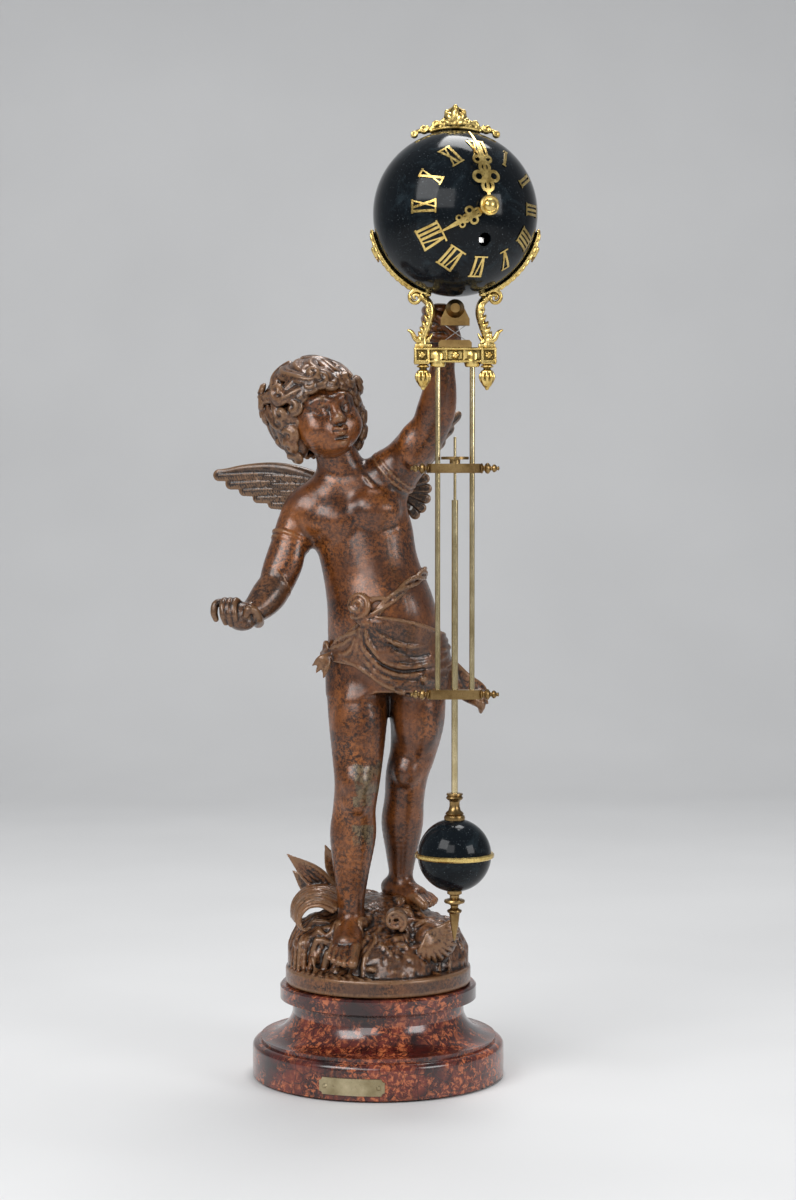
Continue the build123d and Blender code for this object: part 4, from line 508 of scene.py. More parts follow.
# Enamel: its ground, its pale specks and its rubs
ENAMEL = [(0.3, (0.0022, 0.003, 0.004)), (0.7, (0.005, 0.008, 0.011))]
ENAMEL_SPECK = (0.10, 0.12, 0.13)
ENAMEL_RUB = (0.030, 0.046, 0.056)
FELT = [(0.3, (0.03, 0.012, 0.01)), (0.7, (0.08, 0.035, 0.03))]
STEEL = [(0.3, (0.25, 0.24, 0.23)), (0.7, (0.5, 0.49, 0.47))]
# Turned and drawn metals: deep tone, bright tone, roughness and stretch of the fine lines
METALS = {
    "plate_brass": ((0.30, 0.24, 0.13), (0.62, 0.53, 0.34), 0.36, (1, 1, 6)),
    "hanger_brass": ((0.16, 0.09, 0.03), (0.40, 0.26, 0.10), 0.34, (1, 6, 1)),
    "rod_brass": ((0.52, 0.40, 0.19), (0.88, 0.74, 0.45), 0.16, (8, 8, 0.4)),
    "turned_brass": ((0.15, 0.085, 0.03), (0.42, 0.28, 0.12), 0.30, (1, 1, 8)),
    "movement_brass": ((0.4, 0.27, 0.09), (0.7, 0.5, 0.2), 0.25, (1, 1, 1)),
    "weight": ((0.10, 0.10, 0.10), (0.22, 0.22, 0.23), 0.5, (1, 1, 1)),
}


def shaded(tone, share):
    """A darker tone."""
    return tuple(value * share for value in tone)


def patina(name):
    """Brown patina on cast metal: speckled, darkened with painted shade in the hollows, rubbed and given a painted
    highlight on raised places. Point attributes add an ashen tone and bare patches."""
    shader = Shader(name)
    broad = shader.noise(30, detail=6, rough=0.62, warp=0.5)
    base = shader.ramp(broad, [(0.22, DARK), (0.43, BROWN), (0.64, WARM)])
    base = shader.mix(shader.math("MULTIPLY", shader.reading("ash"), 0.8), base, ASHEN)
    patches = shader.noise(85, detail=6, rough=0.68)
    grain = shader.math("MULTIPLY", shader.math("SUBTRACT", patches, 0.5), 0.9)
    bare = shader.ramp(shader.math("ADD", shader.reading("bare"), grain), [(0.5, 0.0), (0.6, 0.85)])
    base = shader.mix(bare, base, BARE_METAL)
    specks = shader.noise(420, detail=6, rough=0.8)
    clouds = shader.ramp(shader.noise(40, detail=4, warp=0.4), [(0.36, 0.35), (0.58, 1.0)])
    dark_specks = shader.math("MULTIPLY", shader.ramp(specks, [(0.45, 0.0), (0.55, 0.95)]), clouds)
    base = shader.mix(dark_specks, base, shaded(DARK, 0.5))
    lift = shader.reading("lift")
    # Painted shade: hollows, found from how raised the skin is, are darkened almost to black
    painted_hollow_shade = shader.ramp(lift, [(0.02, 0.0), (0.05, 0.92), (0.22, 0.88), (0.47, 0.0)])
    base = shader.mix(painted_hollow_shade, base, shaded(DARK, 0.3))
    # Rubbed wear and a painted highlight: raised places turn a paler brown
    raised = shader.math("ADD", lift, shader.math("MULTIPLY", grain, 0.5))
    rubbed = shader.ramp(raised, [(WEAR_AND_HIGHLIGHT_FROM, 0.0), (WEAR_AND_HIGHLIGHT_FROM + 0.22, 0.6)])
    base = shader.mix(rubbed, base, WORN_AND_HIGHLIT)
    rough = shader.ramp(shader.noise(260, detail=5), [(0.3, 0.25), (0.75, 0.42)])
    shader.bump(shader.noise(620, detail=5, rough=0.7), 0.3, 0.0004)
    coat = {"Coat Weight": 0.35, "Coat Roughness": 0.16}
    return shader.dressed({"Base Color": base, "Metallic": 0.2, "Roughness": rough, **coat})


def marbled(name):
    """Glossy red-brown faux marble: dark ground with clouds of orange-red flecks."""
    shader = Shader(name)
    base = shader.ramp(shader.noise(40, detail=6, rough=0.65, warp=0.6), MARBLE)
    flecks = shader.noise(240, detail=6, rough=0.75, warp=0.7)
    gate = shader.ramp(shader.noise(36, detail=4, warp=0.4), [(0.4, 0.0), (0.54, 1.0)])
    bright = shader.math("MULTIPLY", shader.ramp(flecks, [(0.5, 0.0), (0.57, 1.0)]), gate)
    base = shader.mix(bright, base, MARBLE_FLECK)
    veins = shader.ramp(shader.edges(95), [(0.0, 0.75), (0.05, 0.0)])
    base = shader.mix(veins, base, MARBLE_VEIN)
    rough = shader.ramp(shader.noise(120, detail=4), [(0.3, 0.16), (0.8, 0.3)])
    shader.bump(shader.noise(500, detail=3), 0.12, 0.0003)
    coat = {"Coat Weight": 0.4, "Coat Roughness": 0.1}
    return shader.dressed({"Base Color": base, "Roughness": rough, **coat})


def gilding(name):
    """Gilding: bright on raised places, darkened brown with painted shade in the hollows, with small tarnish
    spots.
    """
    shader = Shader(name)
    tarnish = shader.noise(120, detail=6, rough=0.65)
    base = shader.ramp(tarnish, [(0.32, GILT_DEEP), (0.55, GILT_BRIGHT)])
    spots = shader.ramp(shader.noise(800, detail=4, rough=0.7), [(0.6, 0.0), (0.7, 0.7)])
    base = shader.mix(spots, base, shaded(GILT_DEEP, 0.3))
    # Painted shade: the hollows of the gilding are darkened to a deep brown
    painted_hollow_shade = shader.ramp(shader.reading("lift"), [(0.02, 0.0), (0.05, 0.95), (0.25, 0.9), (0.46, 0.0)])
    base = shader.mix(painted_hollow_shade, base, shaded(GILT_DEEP, 0.16))
    polish = shader.noise(240, detail=5)
    rough = shader.ramp(polish, [(0.3, GILT_ROUGH - 0.08), (0.75, GILT_ROUGH + 0.12)])
    shader.bump(shader.noise(900, detail=4), 0.15, 0.0002)
    return shader.dressed({"Base Color": base, "Metallic": 1.0, "Roughness": rough})


def turned_metal(name, deep, bright, rough, lines):
    """Turned or drawn brass: fine lines along or round the piece under a thin tarnish."""
    shader = Shader(name)
    base = shader.ramp(shader.noise(60, detail=6, rough=0.62), [(0.3, deep), (0.7, bright)])
    spots = shader.ramp(shader.noise(650, detail=4, rough=0.7), [(0.6, 0.0), (0.72, 0.6)])
    base = shader.mix(spots, base, shaded(deep, 0.4))
    drawn = shader.noise(500, detail=3, vector=shader.stretched(lines))
    polish = shader.ramp(drawn, [(0.3, rough - 0.06), (0.75, rough + 0.12)])
    shader.bump(drawn, 0.12, 0.0002)
    return shader.dressed({"Base Color": base, "Metallic": 1.0, "Roughness": polish})


def enamel(name):
    """Glossy blue-black enamel with fine pale specks, dust and faint rub marks."""
    shader = Shader(name)
    base = shader.ramp(shader.noise(18, detail=4), ENAMEL)
    specks = shader.ramp(shader.noise(1100, detail=2, rough=0.5), [(0.67, 0.0), (0.73, 0.9)])
    base = shader.mix(specks, base, ENAMEL_SPECK)
    rubs = shader.ramp(shader.noise(42, detail=7, rough=0.7, warp=0.8), [(0.53, 0.0), (0.74, 0.6)])
    base = shader.mix(rubs, base, ENAMEL_RUB)
    rough = shader.ramp(shader.noise(55, detail=6), [(0.35, 0.08), (0.8, 0.2)])
    shader.bump(shader.noise(220, detail=3), 0.06, 0.0003)
    return shader.dressed({"Base Color": base, "IOR": 1.26, "Roughness": rough})


def felt(name):
    """Dark felt."""
    shader = Shader(name)
    shader.bump(shader.noise(1600, detail=3), 0.5, 0.0005)
    return shader.dressed({"Base Color": shader.ramp(shader.noise(900, detail=5), FELT), "Roughness": 0.95})


def steel(name):
    """Satin steel."""
    shader = Shader(name)
    base = shader.ramp(shader.noise(120, detail=5), STEEL)
    rough = shader.ramp(shader.noise(400, detail=4), [(0.3, 0.25), (0.8, 0.45)])
    return shader.dressed({"Base Color": base, "Metallic": 1.0, "Roughness": rough})


BRONZE = "bronze_patina"
GILT = "gilt"
TURNED = "turned_brass"
LOOKS = {
    BRONZE: patina,
    "marbled_base": marbled,
    GILT: gilding,
    "black_enamel": enamel,
    "felt": felt,
    "steel": steel,
}
MATERIALS = {name: look(name) for name, look in LOOKS.items()}
MATERIALS.update({name: turned_metal(name, *look) for name, look in METALS.items()})

# Every node of the frame gets the material of its slot
for part in frame["record"]["subparts"]:
    node = frame["nodes"][part["node"]]
    node.data.materials.clear()
    node.data.materials.append(MATERIALS[part["material_slot"]])


# The figure. Heights are above the base's top. Rings are (x, y, height, half width, half depth), and limbs
# are (x, y, height, radius).
TORSO = [
    (6, 2, 212, 40, 30),
    (5, 0, 248, 41, 31),
    (1.5, -2, 278, 38.5, 31),
    (-7, 0, 308, 35.5, 28),
    (-14, 2, 333, 38, 25.5),
    (-19, 3, 351, 35, 22.5),
    (-22, 2, 364, 23, 18),
    (-27, -1, 376, 17, 16),
    (-32, -3.5, 388, 16, 15.5),
    (-35, -5, 398, 13, 13),
    (-37, -6, 405, 9, 9),
]
RIGHT_ARM = [
    (-36, 3, 348, 19),
    (-54, 1, 338, 15.5),
    (-63.5, -4, 317, 13.4),
    (-69, -9, 300, 13.6),
    (-73, -13.5, 289, 12.4),
    (-78, -19, 281, 12.6),
    (-84, -26, 274, 10.6),
    (-90, -32, 270, 8.2),
    (-96, -37, 268.5, 8.0),
]
LEFT_ARM = [
    (-8, 3, 350, 20),
    (9, 0, 366, 18),
    (18, -4, 375.5, 16.4),
    (29, -12, 389, 15.2),
    (37, -18, 401, 13.6),
    (41.5, -23, 413, 13.8),
    (44, -27.5, 427, 11.8),
    (45.5, -31, 441, 9.0),
    (46, -33, 452, 8.8),
    (46, -33, 460, 9.5),
]
RIGHT_LEG = [
    (-15, 3, 232, 22),
    (-15, 0, 212, 22),
    (-14.5, -6, 190, 21),
    (-14.5, -12, 164, 18.2),
    (-15, -15.5, 146, 16.2),
    (-17, -11.5, 127, 15.4),
    (-18, -9.5, 108, 16.6),
    (-19, -13, 84, 13),
    (-19.3, -18, 64, 10),
    (-19.3, -18, 50, 9.4),
]
LEFT_LEG = [
    (28, 6, 232, 21.5),
    (28, 6, 212, 21),
    (28.5, 6, 190, 19.6),
    (25.5, 5, 168, 16.8),
    (21, 5, 151, 15.4),
    (19, 9, 132, 14.4),
    (17.5, 14, 114, 15.2),
    (17, 17, 94, 11.8),
    (16.6, 18, 78, 9),
    (16.6, 18, 68, 8.4),
]
# Muscles are (place, radii to the side, front and top, facing, softness)
MUSCLES = [
    ((-34, -17, 336), (16, 9, 12), (-0.2, -1, 0.15), 9),
    ((-1, -19, 343), (16, 9, 12), (0.25, -1, 0.15), 9),
    ((3, -17, 266), (29, 17, 26), (0, -1, 0.05), 14),
    ((-36, 20, 340), (14, 8, 17), (-0.2, 1, 0), 9),
    ((4, 20, 342), (14, 8, 17), (0.2, 1, 0), 9),
    ((-12, 24, 222), (19, 14, 20), (0, 1, 0), 8),
    ((27, 25, 222), (19, 14, 20), (0, 1, 0), 8),
    ((-50, 0, 343), (14, 14, 13), (0, -1, 0), 8),
    ((8, -1, 369), (15, 15, 14), (0, -1, 0), 8),
    ((-62, -12, 312), (8, 6, 15), (0, -1, 0.2), 7),
    ((25, -20, 387), (8, 6, 14), (0.2, -1, 0.3), 7),
    ((-15, -28, 148), (9, 6, 10), (0, -1, 0.1), 5),
    ((-15.5, -26, 133), (8, 5, 7), (0, -1, 0), 5),
    ((-19, -1, 110), (12, 11, 20), (0, 1, 0), 7),
    ((21, -8, 153), (8.5, 6, 9.5), (0.1, -1, 0.1), 5),
    ((18, 22, 116), (11, 10, 18), (0, 1, 0), 7),
    ((-14, -20, 190), (15, 9, 26), (0, -1, 0), 8),
    ((28, -8, 192), (14, 9, 24), (0, -1, 0), 8),
]
GROOVES = [
    ([(-17, -30, 352, 1.0), (-16, -30.5, 338, 1.6), (-11, -32, 322, 1.2), (-5, -34, 305, 0.8)], 6),
    ([(-22, 27, 362, 1.0), (-15, 28, 335, 2.0), (-5, 31, 300, 2.0), (4, 33, 262, 1.6)], 7),
    ([(-50, -8, 305, 1.0), (-40, -24, 322, 1.2), (-24, -30, 322, 1.0)], 5),
    ([(14, -20, 330, 1.0), (2, -29, 327, 1.2), (-10, -31, 324, 1.0)], 5),
]
# Feet: heel, ankle, ball, toe tips and the way to the big toe's side. Ridges of the sole are (side, radius),
# and toes are (side, length, radius) from the big one.
FEET = [
    ((-18, -6, 45), (-19.4, -19, 48), (-22.5, -39, 35), (-26, -57, 24), (1, 0, 0)),
    ((10, 24, 65), (17, 17.5, 65), (28, 8, 61), (38.5, -1.5, 57), (-0.6, -0.7, 0)),
]
SOLE = [(-5.5, 5.0), (0, 6.4), (5, 6.6)]
TOES = [(8.6, 1.02, 4.0), (3.0, 1.04, 3.0), (-1.4, 0.98, 2.8), (-5.4, 0.88, 2.6), (-9.0, 0.74, 2.4)]
# Lowered hand: its palm as eggs of (place, radii, facing, softness), its curled fingers as (x, height of
# the tip, radius), its stretched finger and its thumb
PALM = [
    ((-97, -38, 267.5), (11.5, 9.5, 9.0), (-0.2, -1, 0), 4),
    ((-95, -41, 262.5), (8.5, 7, 5.2), (0, -1, 0), 3),
]
CURLED_FINGERS = [(-100.5, 262.5, 2.4), (-104.4, 262.0, 2.5), (-108.2, 263.2, 2.5)]
STRETCHED_FINGER = [
    (-105, -37, 274, 3.2),
    (-110.5, -40, 277, 2.9),
    (-114.2, -42.5, 275.5, 2.8),
    (-115, -43.5, 270, 2.6),
    (-113.8, -43, 265.5, 2.1),
]
OPEN_THUMB = [
    (-84.5, -34, 263, 4.4),
    (-84.5, -42, 266.5, 3.6),
    (-86.5, -46, 271.5, 3.1),
    (-90.5, -47.5, 272.5, 2.8),
    (-92.4, -47, 268.5, 2.4),
]
# Raised fist: its palm, the pin that it grips, the rise and turn of its knuckles, its fingers as
# (height, radius) and its thumb
FIST_PALM = [((48, -30.5, 468), (9.5, 8, 13), (0, -1, 0), 5), ((50, -33, 458), (8, 8, 8), (0, -1, 0), 5)]
GRIP = (44, -36)
GRIP_R = 8.9
KNUCKLE_RISE = 1.4
KNUCKLE_TURN = math.radians(150)
FIST_FINGERS = [(463.5, 4.0), (470, 4.3), (476.5, 4.2), (482.5, 3.8)]
FIST_THUMB = [
    (54, -36, 458, 5),
    (53.5, -43, 465, 4.8),
    (49, -48, 472, 4.3),
    (42, -48.5, 477, 3.7),
    (38, -46.5, 479, 3),
]
# Raised bands round the arms: (middle, way along the arm, radius, thickness)
ARM_BANDS = [
    ((-62.4, -3.2, 321.5), (-0.36, -0.26, -0.9), 13.9, 1.3),
    ((-63.4, -3.9, 317.6), (-0.36, -0.26, -0.9), 13.7, 1.1),
    ((2, 1, 359.5), (0.68, -0.2, 0.7), 20.6, 1.3),
    ((11, -1, 368.5), (0.68, -0.28, 0.68), 18.6, 1.4),
    ((13.6, -2.2, 371), (0.68, -0.28, 0.68), 17.9, 1.0),
    ((-72.6, -13, 290), (-0.62, -0.52, -0.58), 12.9, 0.7),
]


def on_ground(rows):
    """Rows of places on the figure, with their heights counted from the floor instead of the base's top."""
    rows = np.array(rows, float)
    rows[:, 2] += STAND_TOP
    return rows


def sculpt_eggs(clay, eggs):
    """Eggs of (place, radii, facing, softness) on the figure."""
    for at, radii, facing, soft in eggs:
        clay.egg(on_base(*at), radii, facing, soft=soft)


def sculpt_foot(clay, heel, ankle, ball, tip, inner):
    """A foot through its heel, ankle, ball and toe tips (x, y, height). Inner points to the big toe's
    side."""
    heel, ankle, ball, tip = (on_base(*place) for place in (heel, ankle, ball, tip))
    clay.run([heel, heel * 0.35 + ankle * 0.65, ball], (8.2, 9.6, 7.4), soft=5)
    across = unit(np.cross(ball - heel, (0, 0, 1)))
    if across @ np.asarray(inner, float) < 0:
        across = -across
    instep = heel * 0.4 + ankle * 0.6 - (0, 0, 2)
    for side, radius in SOLE:
        clay.rod(instep, ball + across * side - (0, 0, 1), 8, radius, soft=4)
    ahead = unit(tip - ball)
    for side, length, radius in TOES:
        base = ball + across * side * 0.86
        end = ball + (tip - ball) * length + across * side
        knuckle = (base + end) / 2 + (0, 0, 1.6)
        clay.run([base, knuckle, end], (radius, radius, radius * 0.92), 4, soft=0.5)
        nail = end + (0, 0, radius * 0.75) + ahead * 0.5
        clay.egg(nail, (radius * 0.55, radius * 0.6, 0.7), front=ahead, soft=0.4)


def sculpt_open_hand(clay):
    """The lowered hand, loosely curled, with its fingers side by side and its thumb bent over."""
    sculpt_eggs(clay, PALM)
    for x, drop, radius in CURLED_FINGERS:
        finger = [(x + 4, -36, 274, 3.0), (x + 0.6, -41, 278.2, 2.8), (x - 0.6, -46.5, 275, radius)]
        finger += [(x, -48, 268.5, radius), (x + 1.4, -45, drop, radius * 0.85)]
        clay.run(on_ground(finger), per_span=4, soft=0.6)
    clay.run(on_ground(STRETCHED_FINGER), per_span=4, soft=0.8)
    clay.run(on_ground(OPEN_THUMB), per_span=4, soft=1.2)


def sculpt_fist(clay):
    """The raised fist, its fingers closed round the upright pin of the stud."""
    sculpt_eggs(clay, FIST_PALM)
    for level, radius in FIST_FINGERS:
        finger = []
        for turn in np.radians(np.linspace(35, 300, 12)):
            reach = GRIP_R + KNUCKLE_RISE * math.exp(-((turn - KNUCKLE_TURN) / 0.35) ** 2)
            finger.append(on_base(GRIP[0] + reach * math.cos(turn), GRIP[1] + reach * math.sin(turn), level))
        clay.run(finger, radius, 2, soft=1.2)
    clay.run(on_ground(FIST_THUMB), per_span=4, soft=1.6)


def sculpt_bands(clay):
    """The raised bands and the joint line of the arms."""
    for middle, way, radius, thick in ARM_BANDS:
        way = unit(way)
        across = unit(np.cross(way, (0, 1, 0.2)))
        winding = (radius, radius, 1.02, thick, thick)
        clay.curl(on_base(*middle), across, np.cross(way, across), *winding, soft=1.2)


def sculpt_figure(clay):
    """The bare body. Any grid shows the part of it that the grid covers."""
    clay.column(on_ground(TORSO), soft=0)
    for limb, soft in ((RIGHT_ARM, 10), (LEFT_ARM, 10), (RIGHT_LEG, 7), (LEFT_LEG, 7)):
        clay.run(on_ground(limb), soft=soft)
    sculpt_eggs(clay, MUSCLES)
    for groove, soft in GROOVES:
        clay.run(on_ground(groove), soft=soft, carve=True)
    for foot in FEET:
        sculpt_foot(clay, *foot)
    sculpt_bands(clay)
    sculpt_open_hand(clay)
    sculpt_fist(clay)


# Head: its middle, and the ways that it faces and stands
HEAD = on_base(-42, -8, 408)
FACE = unit((0.42, -0.88, 0.18))
HEAD_TILT = np.array((-0.22, 0.08, 0.95))
HEAD_UP = unit(HEAD_TILT - FACE * (HEAD_TILT @ FACE))
HEAD_LEFT = np.cross(HEAD_UP, FACE)
# Face: the throat, eggs of (place, radii, softness), and ridges through (side, front, top, radius)
THROAT = [(-29, -2, 377, 10), (-33, -4, 390, 14.5), (-37, -6, 402, 15)]
SKULL = [
    ((0, -3, 7), (28, 30, 27), 6),
    ((0, 9, -4), (22, 20.5, 24), 8),
    ((0, 15, -19), (13.5, 12.5, 9.5), 9),
    ((0, 23.5, -23), (5.2, 5, 4.4), 7),
]
UPPER_LID = [
    (4.6, 26.0, 0.8, 0.6),
    (6.6, 27.9, 3.4, 0.9),
    (9.2, 28.2, 4.2, 0.95),
    (12, 26.6, 3.0, 0.8),
    (13.6, 24.2, 0.8, 0.5),
]
LOWER_LID = [(5.0, 26.2, 0.0, 0.5), (9.2, 27.0, -2.6, 0.65), (13.0, 24.6, 0.0, 0.5)]
BROW = [(4, 27.6, 7.2, 1.6), (9, 28.4, 9.0, 2.0), (15, 23.4, 7.2, 1.4)]
NOSE = [(0, 27.2, 5, 2.8), (0, 29.8, -1.5, 2.5), (0, 32.2, -6.0, 2.8), (0, 31.8, -7.4, 2.4)]
UPPER_LIP = [
    (-6.0, 26.6, -14.6, 0.8),
    (-2.6, 29.4, -13.9, 1.4),
    (0, 29.9, -14.3, 1.3),
    (2.6, 29.4, -13.9, 1.4),
    (6.0, 26.6, -14.6, 0.8),
]
LOWER_LIP = [(-5.0, 26.6, -16.0, 0.9), (0, 29.4, -17.4, 2.2), (5.0, 26.6, -16.0, 0.9)]
PARTING = [(-6.4, 28.0, -14.9, 0.35), (0, 31.6, -15.7, 0.45), (6.4, 28.0, -14.9, 0.35)]


def on_head(side, front, top):
    """A point of the head, counted from its middle to its left, front and top."""
    return HEAD + HEAD_LEFT * side + FACE * front + HEAD_UP * top


def head_egg(clay, place, radii, soft, carve=False):
    """An egg that stands as the head does."""
    clay.egg(on_head(*place), radii, front=FACE, up=HEAD_UP, soft=soft, carve=carve)


def head_ridge(clay, rows, soft, mirror=1, carve=False):
    """A smooth ridge or groove through (side, front, top, radius) on the head."""
    points = [(*on_head(mirror * side, front, top), radius) for side, front, top, radius in rows]
    clay.run(points, per_span=4, soft=soft, carve=carve)


def sculpt_face(clay):
    """Head and throat with a calm, round young face on common proportions."""
    clay.run(on_ground(THROAT), soft=0)
    for form in SKULL:
        head_egg(clay, *form)
    for side in (-1, 1):
        head_egg(clay, (side * 12.5, 17, -11), (10, 11, 10), 7)
        head_egg(clay, (side * 9.4, 29.8, 1.0), (5.8, 3.2, 3.8), 5, carve=True)
        head_egg(clay, (side * 9.2, 23.4, 0.8), (5.2, 4.8, 4.6), 0.8)
        for ridge, soft in ((UPPER_LID, 1.3), (LOWER_LID, 1.6), (BROW, 6)):
            head_ridge(clay, ridge, soft, side)
        clay.ball(on_head(side * 3.1, 30.2, -7.6), 1.9, soft=2.6)
        clay.ball(on_head(side * 2.0, 33.2, -10.2), 0.8, soft=0.9, carve=True)
        head_egg(clay, (side * 27, -3, -3), (3.2, 5.5, 8), 1.5)
    for ridge, soft in ((NOSE, 4), (UPPER_LIP, 1.8), (LOWER_LIP, 1.8)):
        head_ridge(clay, ridge, soft)
    head_ridge(clay, PARTING, 0.9, carve=True)
    head_egg(clay, (0, 29.8, -11.4), (1.2, 1.0, 1.6), 1.6, carve=True)
    head_egg(clay, (0, 28.8, -20.8), (4.5, 1.3, 1.1), 3, carve=True)


# Hair: its form round the head as a middle and radii, the share of it that is a solid cap, and the eggs cut
# away for the face and the throat
HAIR_MIDDLE = (0, -6, 9.5)
HAIR_R = np.array((33.5, 33.5, 35.0))
CAP_SHARE = 0.86
HAIR_CUTS = [((0, 30, -14), (23, 24, 27)), ((0, 10, -38), (21, 24, 18))]
# Locks: how many, steps along each, and the shares of it before and in its rolled end
HAIR_SEED = 21
LOCKS = 66
LOCK_STEPS = 36
ROLL_FROM = 0.42
ROLL_SPAN = 0.58
# Curls round the face on each side: (side, front, top, size)
FRINGE = [
    (3, 25, 21.5, 8.6),
    (13, 22.5, 20, 8.0),
    (20.5, 18, 15, 7.2),
    (24.5, 14.5, 7.5, 6.4),
    (27, 10.5, 1, 6.2),
    (28.5, 7, -8, 6.4),
    (27, 3, -17, 6.4),
    (24, -3, -24, 6.0),
]


def bare_face(way):
    """Whether a direction from the hair's middle points at the face or the throat."""
    side, front, top = way
    low_front = front > 0.52 and top < 0.22 - 0.3 * side * side
    return low_front or (front > 0.1 and top < -0.66) or top < -0.93


def on_hair(way, share):
    """A point in a direction from the hair's middle, at a share of its radii."""
    return on_head(*(way * HAIR_R * share + HAIR_MIDDLE))


def sculpt_lock(clay, draw, way):
    """A lock of three strands that starts in a direction, sways away from the parting and rolls up at its
    end."""
    parted = np.sign(way[0]) or 1
    heading = np.array((parted * 0.8, 0.5, -0.5)) if way[1] > 0.25 else np.array((parted * 0.25, -0.2, -1.0))
    heading = unit(heading + draw.normal(size=3) * 0.3)
    way = unit(way - (heading - way * (heading @ way)) * 0.3)
    bend = draw.choice((-1, 1))
    sway = draw.uniform(0.08, 0.16)
    curl = draw.uniform(0.42, 0.66)
    step = draw.uniform(0.038, 0.054)
    wide = draw.uniform(2.9, 3.9)
    layer = draw.uniform(-0.03, 0.03)
    flare = draw.uniform(0.08, 0.20)
    strands = ([], [], [])
    for share in np.linspace(0, 1, LOCK_STEPS):
        heading = unit(heading - way * (heading @ way))
        across = np.cross(way, heading)
        rolled = max(share - ROLL_FROM, 0) / ROLL_SPAN
        rise = 0.93 + layer + 0.05 * math.sin(math.pi * share) + flare * rolled
        for offset, strand in zip((-1, 0, 1), strands):
            spread = offset * wide * (1.1 - 0.75 * share) / HAIR_R[0]
            spot = on_hair(unit(way + across * spread), rise + (0.035 if offset == 0 else 0))
            strand.append((*spot, 2.9 - 1.5 * share))
        turn = bend * (sway * math.sin(2 * math.pi * share * 1.3) + curl * rolled)
        heading = heading * math.cos(turn) + across * math.sin(turn)
        way = unit(way + heading * step)
        if bare_face(way):
            break
    for strand in strands:
        if len(strand) > 4:
            clay.tube(strand, soft=0.3)


def sculpt_hair(clay):
    """Thick curly hair: a full cap, locks that sway down from the crown, and curls round the face."""
    draw = np.random.default_rng(HAIR_SEED)
    head_egg(clay, HAIR_MIDDLE, HAIR_R * CAP_SHARE, 0)
    for place, radii in HAIR_CUTS:
        head_egg(clay, place, radii, 2, carve=True)
    for mirror in (-1, 1):
        head_egg(clay, (mirror * 20, -5, -14), (9, 12, 13), 2)
    golden = math.pi * (3 - math.sqrt(5))
    for number in range(LOCKS):
        top = 1 - 2 * (number + 0.5) / LOCKS
        ring = math.sqrt(1 - top * top)
        way = np.array((ring * math.cos(golden * number), ring * math.sin(golden * number), top))
        if not bare_face(way):
            sculpt_lock(clay, draw, way)
    for mirror in (-1, 1):
        for side, front, top, size in FRINGE:
            spot = on_head(mirror * side, front, top) + draw.normal(size=3) * 0.8
            out = unit(HEAD_LEFT * mirror * side * 0.8 + FACE * (front + 6) * 0.7 + HEAD_UP * top * 0.5)
            across = unit(np.cross(HEAD_UP, out))
            upward = np.cross(out, across)
            start = draw.uniform(0.6, 2.2)
            turns = mirror * draw.uniform(1.2, 1.7)
            reach = size * draw.uniform(0.9, 1.1)
            for lift, share in ((0.2, 1.0), (2.0, 0.7)):
                size_in = (reach * share, 0.8, turns * share, 2.7, 1.2)
                clay.curl(spot + out * lift, across, upward, *size_in, start=start, soft=0.3)


# Wings: root, reach, facing and which side is up of each. Feathers lie in the wing's own plane as (start,
# middle, end, half width), and the leading edge runs through (along, up, radius).
WINGS = {
    "right_wing": (on_base(-44, 27, 352), (-78, 23, 11), (0.28, 0.96, 0), 1),
    "left_wing": (on_base(10, 27, 352), (59, 31, 68), (-0.74, 0.52, 0.42), -1),
}
WING_LEAD = [(-14, 5, 5.0), (8, 13, 5.2), (34, 15.5, 4.4), (60, 11.5, 3.2), (80, 5, 2.0)]
LONG_FEATHERS = [
    ((0, 8), (34, 11), (78, 4.5), 6.4),
    ((-2, 4), (30, 6), (68, -0.5), 6.2),
    ((-4, 0), (26, 1), (57, -4), 6.0),
    ((-6, -4), (20, -4), (46, -8), 5.6),
    ((-8, -7), (13, -8), (34, -11), 5.2),
    ((-10, -9), (7, -11), (23, -14), 4.6),
]
COVERTS = [
    ((-8, 9), (16, 11), (42, 9), 5.0),
    ((-8, 5), (13, 6), (35, 3.5), 5.0),
    ((-9, 1), (9, 1), (28, -1), 4.8),
    ((-9, -3), (5, -3.5), (20, -5.5), 4.4),
    ((-10, -7), (1, -8), (13, -10), 4.0),
]
BARBS = 9
VANE_FLAT = 0.24
# Fan of short feathers at the far wing's root: its middle, its reach and the turns of its feathers
FAN_ROOT = (13, 19, 356)
FAN_REACH = 22.5
FAN_TURNS = (42, 22, 3, -16, -35, -52)


